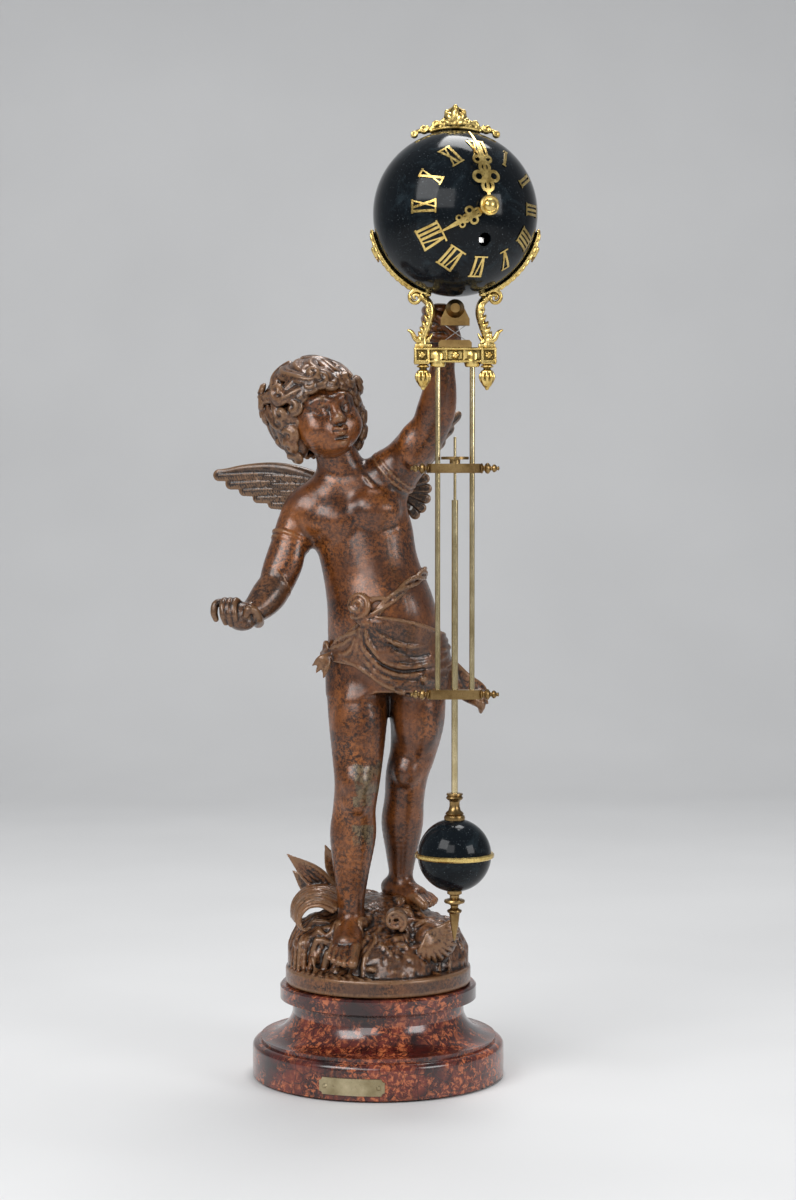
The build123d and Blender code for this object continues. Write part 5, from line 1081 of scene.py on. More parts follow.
def sculpt_wing(clay, root, reach, face, upside):
    """A wing of broad feathers under a row of short ones, with shafts, barbs and a round leading edge."""
    face = unit(face)
    along = unit(np.asarray(reach, float) - face * (np.asarray(reach, float) @ face))
    rise = np.cross(face, along) * upside

    def spot(u, v, lift):
        return root + along * u + rise * v + face * lift

    def feather(start, middle, end, lift):
        return [spot(*start, lift[0]), spot(*middle, lift[0]), spot(*end, lift[1])]

    for row, depth in ((LONG_FEATHERS, 1.0), (COVERTS, 2.6)):
        for number, (*line, radius) in enumerate(row):
            for facing in (-1, 1):
                lift = facing * (depth - 0.26 * number)
                vane = feather(*line, (lift, lift * 0.6))
                clay.run(vane, (radius * 0.8, radius, radius * 0.72), soft=0.25, squeeze=(face, VANE_FLAT))
                raised = facing * radius * VANE_FLAT
                shaft = feather(*line, (lift + raised, lift * 0.6 + raised))
                shaft = clay.run(shaft, (0.7, 0.65, 0.4), soft=0.4)
                for share in np.linspace(0.3, 0.94, BARBS):
                    foot = shaft[int(share * (len(shaft) - 1)), :3]
                    for edge in (-1, 1):
                        tip = foot + (along * 0.8 + rise * edge * 0.85 - face * facing * 0.15) * radius
                        foot_out = foot + face * facing * 0.07 * radius
                        clay.rod(foot_out, tip, 0.3, 0.35, soft=0.2, carve=True)
    lead = [(*spot(u, v, 0), radius) for u, v, radius in WING_LEAD]
    clay.run(lead, soft=1, squeeze=(face, 0.75))


def sculpt_fan(clay):
    """Short round feathers in a fan at the root of the far wing."""
    for number, turn in enumerate(np.radians(FAN_TURNS)):
        root = on_base(*FAN_ROOT) + (0, 0.7 * number, 0)
        way = np.array((math.cos(turn), 0.1, math.sin(turn)))
        side = np.array((-math.sin(turn), 0, math.cos(turn)))
        feather = [root, root + way * FAN_REACH * 0.6, root + way * FAN_REACH]
        clay.run(feather, (2.0, 3.6, 3.8), soft=0.2, squeeze=((0, 1, 0), 0.4))
        for offset in (-2.1, -0.7, 0.7, 2.1):
            tip = root + way * FAN_REACH + side * offset - (0, 1.3, 0)
            clay.rod(root - (0, 1.2, 0), tip, 0.6, soft=0.2)


# Loincloth. Its edges are (direction in degrees, top, hem), and its folds are (thickness, run of
# (direction, height)), all seen from the axis of the hips.
HIPS = (6, 0)
CLOTH_T = 2.4
CLOTH_EDGES = [
    (-180, 245, 226),
    (-158, 241, 234),
    (-128, 251, 231),
    (-112, 263, 225),
    (-95, 267, 219),
    (-80, 265.5, 215),
    (-51, 261, 211),
    (-13, 253, 208),
    (45, 252, 206),
    (90, 255, 205),
    (135, 250, 212),
    (180, 245, 226),
]
CLOTH_CORE = [(8, 3, 206, 40, 30), (7, 2, 222, 42, 32), (6, 0, 240, 41, 31), (4, -1, 258, 38, 29)]
FOLDS = [
    (0.7, [(-106, 267), (-80, 265), (-51, 260.5), (-25, 255.5), (5, 252), (45, 252)]),
    (1.5, [(-111, 263), (-100, 255), (-84, 249), (-64, 245.5), (-48, 246)]),
    (2.2, [(-112, 262), (-108, 247), (-92, 235.5), (-64, 231), (-36, 233), (-10, 238)]),
    (
        1.9,
        [
            (-115, 261), (-117, 249), (-112, 241), (-96, 230.5),
            (-70, 225), (-40, 226.5), (0, 232), (30, 236),
        ],
    ),
    (1.4, [(-118, 259), (-121, 243), (-104, 228), (-82, 221.5), (-48, 219.5), (-8, 224)]),
    (
        1.6,
        [
            (-156, 240), (-130, 232.5), (-112, 226), (-91, 218), (-62, 212),
            (-13, 208.5), (45, 206.5), (92, 206), (140, 215), (178, 229),
        ],
    ),
    (0.9, [(-122, 238), (-106, 228.5), (-84, 219.5), (-60, 216.5), (-34, 213.5)]),
    (1.2, [(-120, 257), (-127, 246), (-138, 240), (-150, 240)]),
    (1.0, [(-116, 259), (-124, 243), (-131, 236)]),
    (1.7, [(-20, 246), (20, 249), (70, 252), (115, 251), (165, 245)]),
    (2.0, [(-28, 241), (15, 243), (75, 239), (125, 241), (172, 240)]),
    (1.7, [(-4, 227), (45, 228), (105, 227), (150, 235)]),
    (1.4, [(0, 217), (50, 215), (100, 216), (150, 227)]),
    (1.2, [(188, 241), (172, 236), (150, 232)]),
]
CREASES = [
    [(-103, 256), (-92, 250.5), (-75, 242.5), (-56, 238), (-38, 239.5)],
    [(-110, 244), (-97, 233.5), (-72, 227.5), (-44, 229)],
]
# Full places of the cloth: (direction, height, radii)
PUFFS = [(-84, 241, (13, 4.6, 6.5)), (-100, 262, (8, 3.4, 4)), (-30, 222, (13, 4, 5))]
# Strap: its height at the axis, its slope, how far it lies off the skin, and the heights that it stays
# between
STRAP_RISE = 270.8
STRAP_SLOPE = 0.87
STRAP_OUT = 1.8
STRAP_LEAST = 236
STRAP_MOST = 312
KNOT_TURN = -118.5
KNOT_RISE = 275
KNOT_FRONT = (-0.45, -0.88, 0.1)
FLAP_ENDS = [(-46.5, -16, 231), (-44, -18.5, 226), (-38.5, -21, 222.5)]
AXIS_REACH = 90


def on_hips(clay, turn, rise, out):
    """The place on the clay's skin in a level direction (degrees) from the axis of the hips, moved out."""
    way = np.array((math.cos(math.radians(turn)), math.sin(math.radians(turn)), 0))
    start = on_base(*HIPS, rise)
    reaches = np.arange(0, AXIS_REACH, clay.cell / 2)
    cells = np.round((start + way * reaches[:, None] - clay.low) / clay.cell).astype(int)
    within = np.all((cells >= 0) & (cells < np.array(clay.field.shape)), axis=1)
    filled = clay.field[tuple(cells[within].T)] < 0
    return start + way * (reaches[within][filled].max() + out)


def sculpt_strap(clay, bare):
    """A strap of three twisted strands that slants round the hips."""
    for strand in range(3):
        points = []
        for turn in np.linspace(0, 360, 121):
            height = STRAP_RISE
            for _ in range(3):
                spot = on_hips(bare, turn, min(max(height, STRAP_LEAST), STRAP_MOST), STRAP_OUT)
                height = STRAP_RISE + STRAP_SLOPE * spot[0]
            twist = math.radians(4 * turn) + strand * 2 * math.pi / 3
            way = math.radians(turn)
            out = 0.7 * math.sin(twist) - 0.3
            spot = spot + (out * math.cos(way), out * math.sin(way), 2.9 * math.cos(twist))
            points.append((*spot, 1.6))
        clay.tube(points, soft=0.4)


def sculpt_knot(clay, bare):
    """A rolled knot on the strap, with gathers down from it and beside it."""
    knot = on_hips(bare, KNOT_TURN, KNOT_RISE, 3)
    out = unit(KNOT_FRONT)
    across = unit(np.cross(out, (0, 0, 1)))
    upward = np.cross(across, out)
    clay.egg(knot - out * 3, (9, 4, 9.5), front=out, soft=1.5)
    clay.curl(knot, across, upward, 8.2, 5.4, -1.0, 2.9, 2.4, start=-1.2, soft=0.4)
    clay.curl(knot + out * 1.6, across, upward, 5.0, 0.8, -1.6, 2.2, 1.4, start=-0.4, soft=0.4)
    for lean in (-3, 0.5, 4):
        pinch = knot + upward * -6 + across * lean
        clay.rod(pinch, on_hips(bare, -111 - lean, 262, 3.2), 1.9, 1.7, soft=0.8)
    for reach in (8, 15):
        ruck = knot + across * -3 + upward * (6 - reach * 0.15)
        end = on_hips(bare, KNOT_TURN + reach * 1.7, KNOT_RISE + reach * 0.35, 2.2)
        clay.rod(ruck, end, 2.2, 1.5, soft=1.2)


def sculpt_cloth(clay):
    """A short cloth slung on the hips: swags, a twisted strap, a rolled knot, a flap and a blown tail."""
    sculpt_figure(clay)
    bare = copy.deepcopy(clay)
    clay.field -= CLOTH_T
    clay.column(on_ground(CLOTH_CORE), soft=5)
    slices, (x, y, z) = clay.whole()
    turns = np.degrees(np.arctan2(y - HIPS[1], x - HIPS[0]))
    edges = np.array(CLOTH_EDGES, float)
    top = np.interp(turns, edges[:, 0], edges[:, 1])
    hem = np.interp(turns, edges[:, 0], edges[:, 2])
    rise = z - STAND_TOP
    clay.field[slices] = np.maximum(clay.field[slices], np.maximum(rise - top, hem - rise))
    for turn, height, radii in PUFFS:
        spot = on_hips(bare, turn, height, 0.6)
        clay.egg(spot, radii, front=spot - on_base(*HIPS, height), soft=2.5)
    for thick, fold in FOLDS:
        points = [on_hips(bare, turn, height, CLOTH_T) for turn, height in curve_through(fold, 6)]
        swell = np.sin(np.linspace(0.3, math.pi - 0.3, len(points)))
        clay.tube(np.column_stack((points, 0.7 + thick * swell)), soft=1.0)
    for crease in CREASES:
        points = [(*on_hips(clay, turn, height, 0.3), 1.0) for turn, height in curve_through(crease, 6)]
        clay.tube(points, soft=1.2, carve=True)
    sculpt_strap(clay, bare)
    sculpt_knot(clay, bare)
    clay.curl(on_hips(bare, -170, 243, 2), (0.3, -0.95, 0), (0, 0, 1), 4.2, 3.6, 1.0, 1.6, 1.4, soft=0.4)
    for end in FLAP_ENDS:
        flap = [(-35, -17, 238, 2.2), ((-35 + end[0]) / 2, -19, (240 + end[2]) / 2, 3.0), (*end, 0.9)]
        clay.run(on_ground(flap), soft=1.4, squeeze=((0.3, 0.95, 0), 0.55))
    for sway in range(-2, 3):
        tail = [
            (44, 4, 229 + 4.2 * sway, 4.0),
            (53, 8 + sway, 222 + 4.0 * sway, 4.4),
            (64, 12 - 1.2 * sway, 213 + 3.4 * sway, 4.2),
            (74, 13 + 1.4 * sway, 207 + 3.0 * sway, 3.6),
            (79 + 1.2 * sway - abs(sway), 14, 201.5 + 3.4 * sway, 1.5),
        ]
        clay.run(on_ground(tail), soft=0.9, squeeze=((0.2, 0.95, 0.2), 0.62))


# Ground: the same mound as the casting, with a rolling wave of leaves, upright leaves, a scroll and a shell
# on it. Lumps are (x, y, height, radius), and leaves are (start, middle, tip, half width).
GROUND_RIM_R = 67.0
GROUND_RIM_H = 13.2
RIM_EDGE = 2.0
MOUND_LUMPS = [(0, 12, 10.6, 52), (-34, 0, 17.6, 34), (32, 2, 14.6, 36), (8, -30, 6.6, 34), (0, 34, 12.6, 32)]
LEAVES = [
    ((-30, 8, 60), (-47, 6, 76), (-66, 4, 92), 7.5),
    ((-22, 18, 62), (-32, 18, 80), (-39, 17, 97), 6.0),
    ((-34, 20, 50), (-50, 26, 64), (-63, 30, 76), 6.5),
    ((-24, 34, 44), (-36, 44, 60), (-46, 50, 72), 6.0),
    ((10, 42, 42), (16, 50, 54), (18, 58, 62), 5.0),
]
WAVE = [(-24, 62), (-38, 68.5), (-52, 67), (-61, 58), (-62.5, 47), (-57, 40), (-50, 42)]
WAVE_HEART = (-44, 48)
WAVE_STRANDS = 12
SCROLL = (12.5, -36, 51)
SHELL = (35, -36, 43)
SHELL_RIBS = 12
# One rib of the shell: (reach, depth) and radii
SHELL_RIB = [(0, -5), (9, -8.5), (17, -7.5), (22, -2)]
SHELL_RADII = (1.0, 1.5, 1.9, 1.5)
GROUND_SEED = 11
ROCKS = 46
SPRIGS = 64
FROND_TURNS = (184, 264)
FRONDS = 15


def perch(clay, turn, reach):
    """The highest point of the clay in a direction and at a distance from the ground's middle."""
    x, y = reach * math.cos(turn), reach * math.sin(turn)
    i, j = (np.round((np.array((x, y)) - clay.low[:2]) / clay.cell)).astype(int)
    filled = np.nonzero(clay.field[i, j] < 0)[0]
    top = clay.low[2] + clay.cell * filled.max() if len(filled) else STAND_TOP + GROUND_RIM_H
    return np.array((x, y, top))


def sculpt_leaf(clay, start, middle, tip, width):
    """A pointed leaf of five ribs that meet at its tip."""
    start, middle, tip = (on_base(*spot) for spot in (start, middle, tip))
    way = unit(tip - start)
    across = unit(np.cross(way, (0.25, 1, 0.15)))
    flat = np.cross(way, across)
    clay.run([start, middle, tip], (width * 0.5, width, 0.8), soft=1.0, squeeze=(flat, 0.16))
    for offset in (-1, -0.5, 0, 0.5, 1):
        lean = across * offset * width
        for face in (-1, 1):
            sheer = flat * face * width * 0.12
            clay.run([start + lean * 0.5, middle + lean * 0.9 + sheer, tip], (1.3, 1.5, 0.6), soft=0.3)


def sculpt_mound(clay, draw):
    """The mound with its rocks, its creeping sprigs and the fronds on its flank."""
    for x, y, rise, radius in MOUND_LUMPS:
        clay.ball(on_base(x, y, rise), radius - 1, soft=9)
    for _ in range(ROCKS):
        turn, reach = draw.uniform(0, 2 * math.pi), draw.uniform(14, 58)
        at = perch(clay, turn, reach)
        size = draw.uniform(4.5, 10)
        radii = (size, size * 0.7, size * 0.55)
        clay.egg(at - (0, 0, size * 0.3), radii, front=unit(draw.normal(size=3)), up=(0.1, 0.2, 1), soft=0.8)
    for _ in range(SPRIGS):
        turn, reach = draw.uniform(0, 2 * math.pi), draw.uniform(26, 52)
        sprig = []
        for share in np.linspace(0, 1, 6):
            sprig.append((*(perch(clay, turn, reach) - (0, 0, 0.5)), 2.3 - 1.3 * share))
            turn += draw.normal() * 0.05
            reach = min(reach + draw.uniform(1.5, 3.5), 63)
        clay.tube(sprig, soft=0.5)
    clay.roughen(0.4, 2.6, GROUND_SEED)
    for turn in np.radians(np.linspace(*FROND_TURNS, FRONDS)):
        frond = []
        bend = draw.uniform(0.05, 0.14)
        for reach in np.linspace(36, 64.5, 10):
            at = perch(clay, turn + bend * math.sin(reach * 0.2), reach)
            frond.append((*(at - (0, 0, 0.2)), 2.2 * math.sin(math.pi * (reach - 28) / 44) + 0.3))
        clay.tube(frond, soft=0.4)


def sculpt_wave(clay, draw):
    """The rolling wave, strand behind strand."""
    heart_x, heart_rise = WAVE_HEART
    for strand in range(WAVE_STRANDS):
        size = 1.02 - 0.036 * strand + draw.uniform(-0.04, 0.04)
        depth = 7 - 3.5 * strand
        thick = draw.uniform(1.6, 2.3)
        last = len(WAVE) - int(draw.integers(0, 3))
        roll = []
        for number, (x, rise) in enumerate(WAVE[:last]):
            lean = depth + number * draw.uniform(-1.2, 0.4)
            roll_x = heart_x + (x - heart_x) * size
            roll_rise = heart_rise + (rise - heart_rise) * size
            roll.append((roll_x, lean, roll_rise, thick * (1 - 0.09 * number)))
        clay.run(on_ground(roll), soft=0.4)


def sculpt_ground(clay):
    """The round cast ground."""
    low = on_base(0, 0, 0)
    draw = np.random.default_rng(GROUND_SEED)
    sculpt_mound(clay, draw)
    for leaf in LEAVES:
        sculpt_leaf(clay, *leaf)
    sculpt_wave(clay, draw)
    for depth in (-5, -2.5, 0, 2.5, 5, 7.5):
        eye = on_base(*SCROLL) + (0, depth, 0)
        clay.curl(eye, (1, 0, 0), (0, 0, 1), 7.8, 1.4, 2.0, 1.7, 1.3, start=-1.0, soft=0.5)
    shell = on_base(*SHELL)
    clay.egg(shell + (6, 4, -8), (15, 10, 14), soft=3)
    for turn in np.linspace(math.radians(-112), math.radians(25), SHELL_RIBS):
        way = np.array((math.cos(turn), 0, math.sin(turn)))
        clay.run([shell + way * reach + (0, depth, 0) for reach, depth in SHELL_RIB], SHELL_RADII, soft=0.3)
    slices, (x, y, z) = clay.whole()
    from_axis = np.sqrt(x * x + y * y)
    flare = GROUND_RIM_R - 1.5 + np.maximum(z - low[2] - 30, 0)
    clay.field[slices] = np.maximum(clay.field[slices], from_axis - flare)
    across = from_axis - (GROUND_RIM_R - RIM_EDGE)
    over = np.abs(z - low[2] - GROUND_RIM_H / 2) - (GROUND_RIM_H / 2 - RIM_EDGE)
    outside = np.sqrt(np.maximum(across, 0) ** 2 + np.maximum(over, 0) ** 2)
    rim = outside + np.minimum(np.maximum(across, over), 0) - RIM_EDGE
    clay.press(slices, rim.astype(np.float32), 0.6)
    clay.field[:, :, z[0, 0] < low[2]] = FAR


# Gilt frame: places across the frame are counted from the pendulum's axis. Panels of the bar are (across,
# half width, front), and shoots of a cradle run through (out, share of the depth, rise, radius).
BAR_HALF = 28
CRADLE_X = 22.0
STEM = [(0, 1), (0, 7), (-2.5, 14), (-5, 23), (-4, 30), (1, 35.5)]
OUTER_LEAF = [(1, 1, 3, 2.0), (5.5, 1, 6, 1.8), (8, 1, 10.5, 1.4), (10.6, 0.7, 12, 0.8)]
INNER_LEAF = [(-1, 1, 3, 1.6), (-4, 1, 6, 1.3), (-6, 0.8, 9.4, 0.6)]
SPROUT = [(0, 1, 34, 2.2), (-3, 1, 38.5, 1.8), (-8, 0.8, 41.4, 0.8)]
CRESCENT_R = 58.7
CRESCENT_LOW = -72
CRESCENT_HIGH = -13
LEAF_EVERY = 4.5
CREST_R = 59.2
CREST_SPAN = 29
PALMETTE = [(0, 14.6), (30, 12.4), (-30, 12.4), (62, 9.6), (-62, 9.6)]
DROP_X = 22.2
ROD_X = 12.0
END_X = 23.2
BAR_PANELS = [(-END_X, 3.7, 6.2), (0, 5.6, 4.6), (END_X, 3.7, 6.2)]
# Eyes of the crest's scrolls are (turn, size), swells of a drop are (drop, radii, softness), and one of its
# leaves runs through (out, drop)
CREST_EYES = [(12, 3.6), (20.5, 2.8), (27.5, 1.9)]
DROP_SWELLS = [(1.4, (4.6, 4.6, 1.3), 0.2), (5.2, (4.4, 4.4, 2.0), 0.3), (10.4, (4.3, 4.3, 6.0), 0.4)]
DROP_LEAF = [(3.4, 5), (4.5, 8.6), (3.9, 12.4)]


def on_frame(across, depth, z):
    """A point of the gilt frame, from the pendulum's axis across and in depth, at a height."""
    return np.array((PEND_X + across, PEND_Y + depth, z))


def on_ball(angle, reach, depth):
    """A point beside the ball in the frame's plane, at an angle (degrees) up from its right side."""
    turn = math.radians(angle)
    return on_frame(reach * math.cos(turn), depth, BALL_Z + reach * math.sin(turn))


def sculpt_rosette(clay, at, size, facing):
    """A small flower of five petals and a bead."""
    for turn in np.arange(5) * 2 * math.pi / 5:
        petal = at + np.array((math.cos(turn), 0, math.sin(turn))) * size * 0.62
        clay.ball(petal, size * 0.42, soft=0.15)
    clay.ball(at + np.array((0, facing * size * 0.35, 0)), size * 0.36, soft=0.1)


def sculpt_bar(clay):
    """The cast bar: a moulded beam with panels, rod bosses and end blocks."""
    beam_low = BAR_LOW + 1.2
    clay.block(on_frame(-BAR_HALF, -4.6, beam_low), on_frame(BAR_HALF, 4.6, BAR_HIGH), 0.6)
    for height in (beam_low + 0.9, BAR_HIGH - 0.9):
        for depth in (-4.7, 4.7):
            clay.rod(on_frame(-BAR_HALF, depth, height), on_frame(BAR_HALF, depth, height), 0.9, soft=0.3)
    for side in (-1, 1):
        rod_x, end_x = side * ROD_X, side * END_X
        clay.rod(on_frame(rod_x, 0, beam_low), on_frame(rod_x, 0, BAR_HIGH - 5.6), 5.6, soft=0.2)
        clay.block(on_frame(end_x - 5.4, -6.2, BAR_LOW), on_frame(end_x + 5.4, 6.2, BAR_HIGH), 0.7)
    for facing in (-1, 1):
        for across, half, front in BAR_PANELS:
            corner = on_frame(across - half, facing * (front - 1), BAR_LOW + 2.8)
            clay.block(corner, on_frame(across + half, facing * (front + 2), BAR_HIGH - 1.9), 0.3, carve=True)
            at = on_frame(across, facing * (front - 0.9), (BAR_LOW + BAR_HIGH + 1) / 2)
            sculpt_rosette(clay, at, 2.3, facing)


def sculpt_cradle(clay, side):
    """A cradle: a foot with a curled leaf, a stem of ribs and small leaves, a volute and a leafy crescent."""

    def spot(out, depth, rise):
        return on_frame(side * (CRADLE_X + out), depth, BAR_HIGH + rise)

    def shoot(rows, depth):
        points = [(*spot(out, depth * share, rise), radius) for out, share, rise, radius in rows]
        clay.run(points, soft=0.3)

    def arc(start, stop, reach, depth, thick, thin):
        angles = np.linspace(start, stop, 40)
        radii = np.linspace(thick, thin, 40)
        turned = angles if side > 0 else 180 - angles
        return [(*on_ball(angle, reach, depth), radius) for angle, radius in zip(turned, radii)]

    clay.block(spot(-6, -4.4, -0.4), spot(6, 4.4, 2.6), 0.7)
    clay.block(spot(-4.6, -3.6, 2), spot(4.6, 3.6, 4.4), 0.7)
    stem = curve_through(STEM, 6)
    for depth, radius in ((-2.6, 2.2), (0, 2.9), (2.6, 2.2)):
        clay.tube([(*spot(out, depth, rise), radius) for out, rise in stem], soft=0.4)
    for out, rise in stem[3:-2:3]:
        for depth in (-3.0, 3.0):
            leaf = [spot(out - 1.5, depth * 0.9, rise - 1.5), spot(out + 1.4, depth * 1.25, rise + 1)]
            clay.run([*leaf, spot(out + 3, depth, rise + 3.4)], (1.0, 1.5, 0.9), soft=0.25)
    for depth in (-2.2, 0, 2.2):
        shoot(OUTER_LEAF, depth)
        shoot(INNER_LEAF, depth)
        eye = spot(5.4, depth, 34.4)
        clay.curl(eye, (side, 0, 0), (0, 0, 1), 5.4, 1.0, -1.5, 1.5, 1.0, start=2.4, soft=0.3)
        shoot(SPROUT, depth)
    for depth in (-3.1, 3.1):
        clay.tube(arc(CRESCENT_LOW, CRESCENT_HIGH, CRESCENT_R, depth, 1.2, 0.8), soft=0.2)
    for depth in (-1.4, 1.4):
        clay.tube(arc(CRESCENT_LOW, CRESCENT_HIGH, CRESCENT_R - 0.4, depth, 1.6, 1.3), soft=0.2)
    for angle in np.arange(CRESCENT_LOW + 10, CRESCENT_HIGH - 2, LEAF_EVERY):
        for depth in (-2.2, 2.2):
            clay.tube(arc(angle, angle + 4.4, CRESCENT_R + 1.5, depth * 0.9, 1.3, 0.5)[::8], soft=0.15)
    knob = arc(-29, -22, CRESCENT_R + 2.8, 0, 1.7, 1.9)
    clay.tube(knob[::8], soft=0.6)
    tip = arc(CRESCENT_HIGH - 2, CRESCENT_HIGH + 2, CRESCENT_R + 0.2, 0, 2.2, 1.2)
    clay.tube(tip[::8], soft=0.5)


def sculpt_crest(clay):
    """The crest: a band, a palmette of five leaves and a garland of scrolls to each side."""
    for depth in (-2.4, 0, 2.4):
        angles = np.linspace(90 - CREST_SPAN * 0.55, 90 + CREST_SPAN * 0.55, 30)
        clay.tube([(*on_ball(angle, CREST_R, depth), 1.6) for angle in angles], soft=0.3)
    foot = on_frame(0, 0, BALL_Z + CREST_R + 0.6)
    clay.egg(foot + (0, 0, 5.5), (8.2, 2.2, 8.4), soft=0.4)
    for lean, length in PALMETTE:
        way = np.array((math.sin(math.radians(lean)), 0, math.cos(math.radians(lean))))
        for depth in (-1.5, 1.5):
            leaf = [foot + (0, depth, 0), foot + way * length * 0.55 + (0, depth * 1.4, 0)]
            clay.run([*leaf, foot + way * length * 0.86], (1.8, 2.9, 2.4), soft=0.2)
        clay.rod(foot + way * 2 + (0, -2.9, 0), foot + way * length * 0.8 + (0, -3.9, 0), 0.7, 0.8, soft=0.2)
        clay.ball(foot + way * length * 0.92 + (0, -1.6, 0), 1.9, soft=0.3)
    clay.egg(foot + (0, -2, 2), (3.4, 2.6, 3), soft=0.3)
    for side in (-1, 1):
        for depth in (-1.8, 1.8):
            garland = []
            for share in np.linspace(0, 1, 26):
                angle = 90 - side * (7 + (CREST_SPAN - 7) * share)
                reach = CREST_R + 2.2 + 1.5 * math.sin(share * 3 * math.pi) * (1 - 0.5 * share)
                garland.append((*on_ball(angle, reach, depth), 2.1 - 1.0 * share))
            clay.tube(garland, soft=0.25)
        for turn, size in CREST_EYES:
            for depth in (-2.6, 2.6):
                eye = on_ball(90 - side * turn, CREST_R + 1.6 + size * 0.5, 0) + (0, depth, 0)
                clay.curl(eye, (side, 0, 0), (0, 0, 1), size, 0.6, 1.5, 1.1, 0.7, start=2.6, soft=0.2)


def sculpt_drops(clay):
    """Two acorn drops under the bar: a neck, a leafy cup and a bud."""
    for side in (-1, 1):
        top = on_frame(side * DROP_X, 0, BAR_LOW)
        clay.rod(top + (0, 0, 1), top - (0, 0, 3), 3.0, 2.6, soft=0.4)
        for drop, radii, soft in DROP_SWELLS:
            clay.egg(top - (0, 0, drop), radii, soft=soft)
        clay.ball(top - (0, 0, 16.4), 1.5, soft=0.6)
        for turn in np.arange(8) * math.pi / 4:
            way = np.array((math.cos(turn), math.sin(turn), 0))
            leaf = [top + way * out - (0, 0, drop) for out, drop in DROP_LEAF]
            clay.run(leaf, (1.0, 1.3, 0.6), soft=0.15)


# Turned pieces as (radius, distance) from the seat outwards
HUB = [
    (2.0, -1.6), (6.4, -1.6), (7.0, -0.8), (6.7, 0.2), (5.8, 0.6), (5.0, 0.1), (4.5, 0.1), (4.3, 1.0),
    (3.5, 2.2), (2.0, 3.0), (0.1, 3.3),
]
FINIAL = [
    (1.6, 0), (3.3, 0.1), (3.7, 0.7), (3.2, 1.4), (1.8, 1.9), (1.8, 2.6), (3.1, 3.2), (3.9, 4.5), (3.7, 5.5),
    (2.5, 6.5), (1.5, 7.0), (1.5, 7.8), (2.6, 8.4), (2.9, 9.5), (2.2, 10.7), (1.2, 11.3), (1.2, 11.8),
    (1.6, 12.3), (1.2, 12.8), (0.1, 13),
]
COLLAR = [
    (2.2, 0), (7.2, 0.1), (7.4, 1.6), (7.0, 3.0), (6.0, 3.6), (6.5, 4.4), (5.9, 5.3), (4.4, 6.6), (3.6, 9.5),
    (3.5, 12.2), (4.1, 13.6), (5.4, 14.4), (6.0, 15.4), (5.4, 16.4), (5.0, 16.9), (5.8, 17.5), (5.6, 18.6),
    (2.2, 19),
]
BOB_FINIAL = [
    (2.0, -2), (5.2, -1.6), (5.2, 1.4), (3.4, 2.4), (3.2, 4.4), (4.6, 5.0), (6.9, 5.6),
    (7.4, 6.6), (6.9, 7.8), (4.4, 8.6), (2.9, 9.6), (2.6, 11.4), (3.6, 12.2), (5.0, 12.9),
    (5.2, 13.8), (4.7, 14.6), (3.7, 15.4), (3.2, 20), (2.3, 26), (1.2, 32), (0.2, 35),
]
# Bare patches on the front leg: (middle, half width, half height)
BARE_PATCHES = [((-7.5, 151), 10, 11), ((-11, 135), 7, 4), ((-10.5, 109), 8, 8)]


def sculpture(name, low, high, cell, shaping, slot, nodes, body, tuck=None, marks=None):
    """One sculpted piece: its grid, its shaping function, its finish and what it stands for. Tuck is (axis,
    edge, way): the skin sinks under the neighbouring piece on the way to that edge."""
    clay = Clay(low, high, cell)
    shaping(clay)
    if tuck is not None:
        axis, edge, way = tuck
        shape = [1, 1, 1]
        shape[axis] = clay.field.shape[axis]
        along = clay.low[axis] + clay.cell * np.arange(shape[axis])
        sink = TUCK_DEPTH * np.clip(1 - (edge - along) * way / TUCK_REACH, 0, 1)
        clay.field += sink.reshape(shape).astype(np.float32)
    for axis in range(3):
        ends = np.moveaxis(clay.field, axis, 0)
        ends[0] = np.maximum(ends[0], clay.cell)
        ends[-1] = np.maximum(ends[-1], clay.cell)
    finish_piece(clay.skin(name, marks or {}), body, slot, nodes)


def cast(name, low, high, cell, shaping, *nodes, tuck=None, **marks):
    """A sculpted piece of the figure, with the corners of its grid counted from the base's top."""
    sculpture(name, on_base(*low), on_base(*high), cell, shaping, BRONZE, nodes, "stand", tuck, marks)


def gilded(name, low, high, cell, shaping, node):
    """A sculpted piece of the gilt frame, with the corners of its grid counted from the pendulum's axis."""
    sculpture(name, on_frame(*low), on_frame(*high), cell, shaping, GILT, (node,), "swinger")


def toned(tone):
    """A point attribute with one value all over."""
    return lambda points: np.full(len(points), tone)


def forearm_tone(points):
    """Ashen below the joint line of the lowered arm, the last of the arms' bands."""
    middle, way = ARM_BANDS[-1][:2]
    below = (points - on_base(*middle)) @ unit(way)
    return 0.6 * np.clip(below / 1.5, 0, 1) * (points[:, 0] < -55)


def bare_leg(points):
    """How bare the metal of the front leg is rubbed, from 0 to 1."""
    bare = np.zeros(len(points))
    for (x, rise), half_x, half_z in BARE_PATCHES:
        away_x = np.abs(points[:, 0] - x) / half_x
        away = np.maximum(away_x, np.abs(points[:, 2] - STAND_TOP - rise) / half_z)
        bare = np.maximum(bare, np.clip(1.1 - away * 0.62, 0, 0.58))
    return bare * (points[:, 1] < -14)


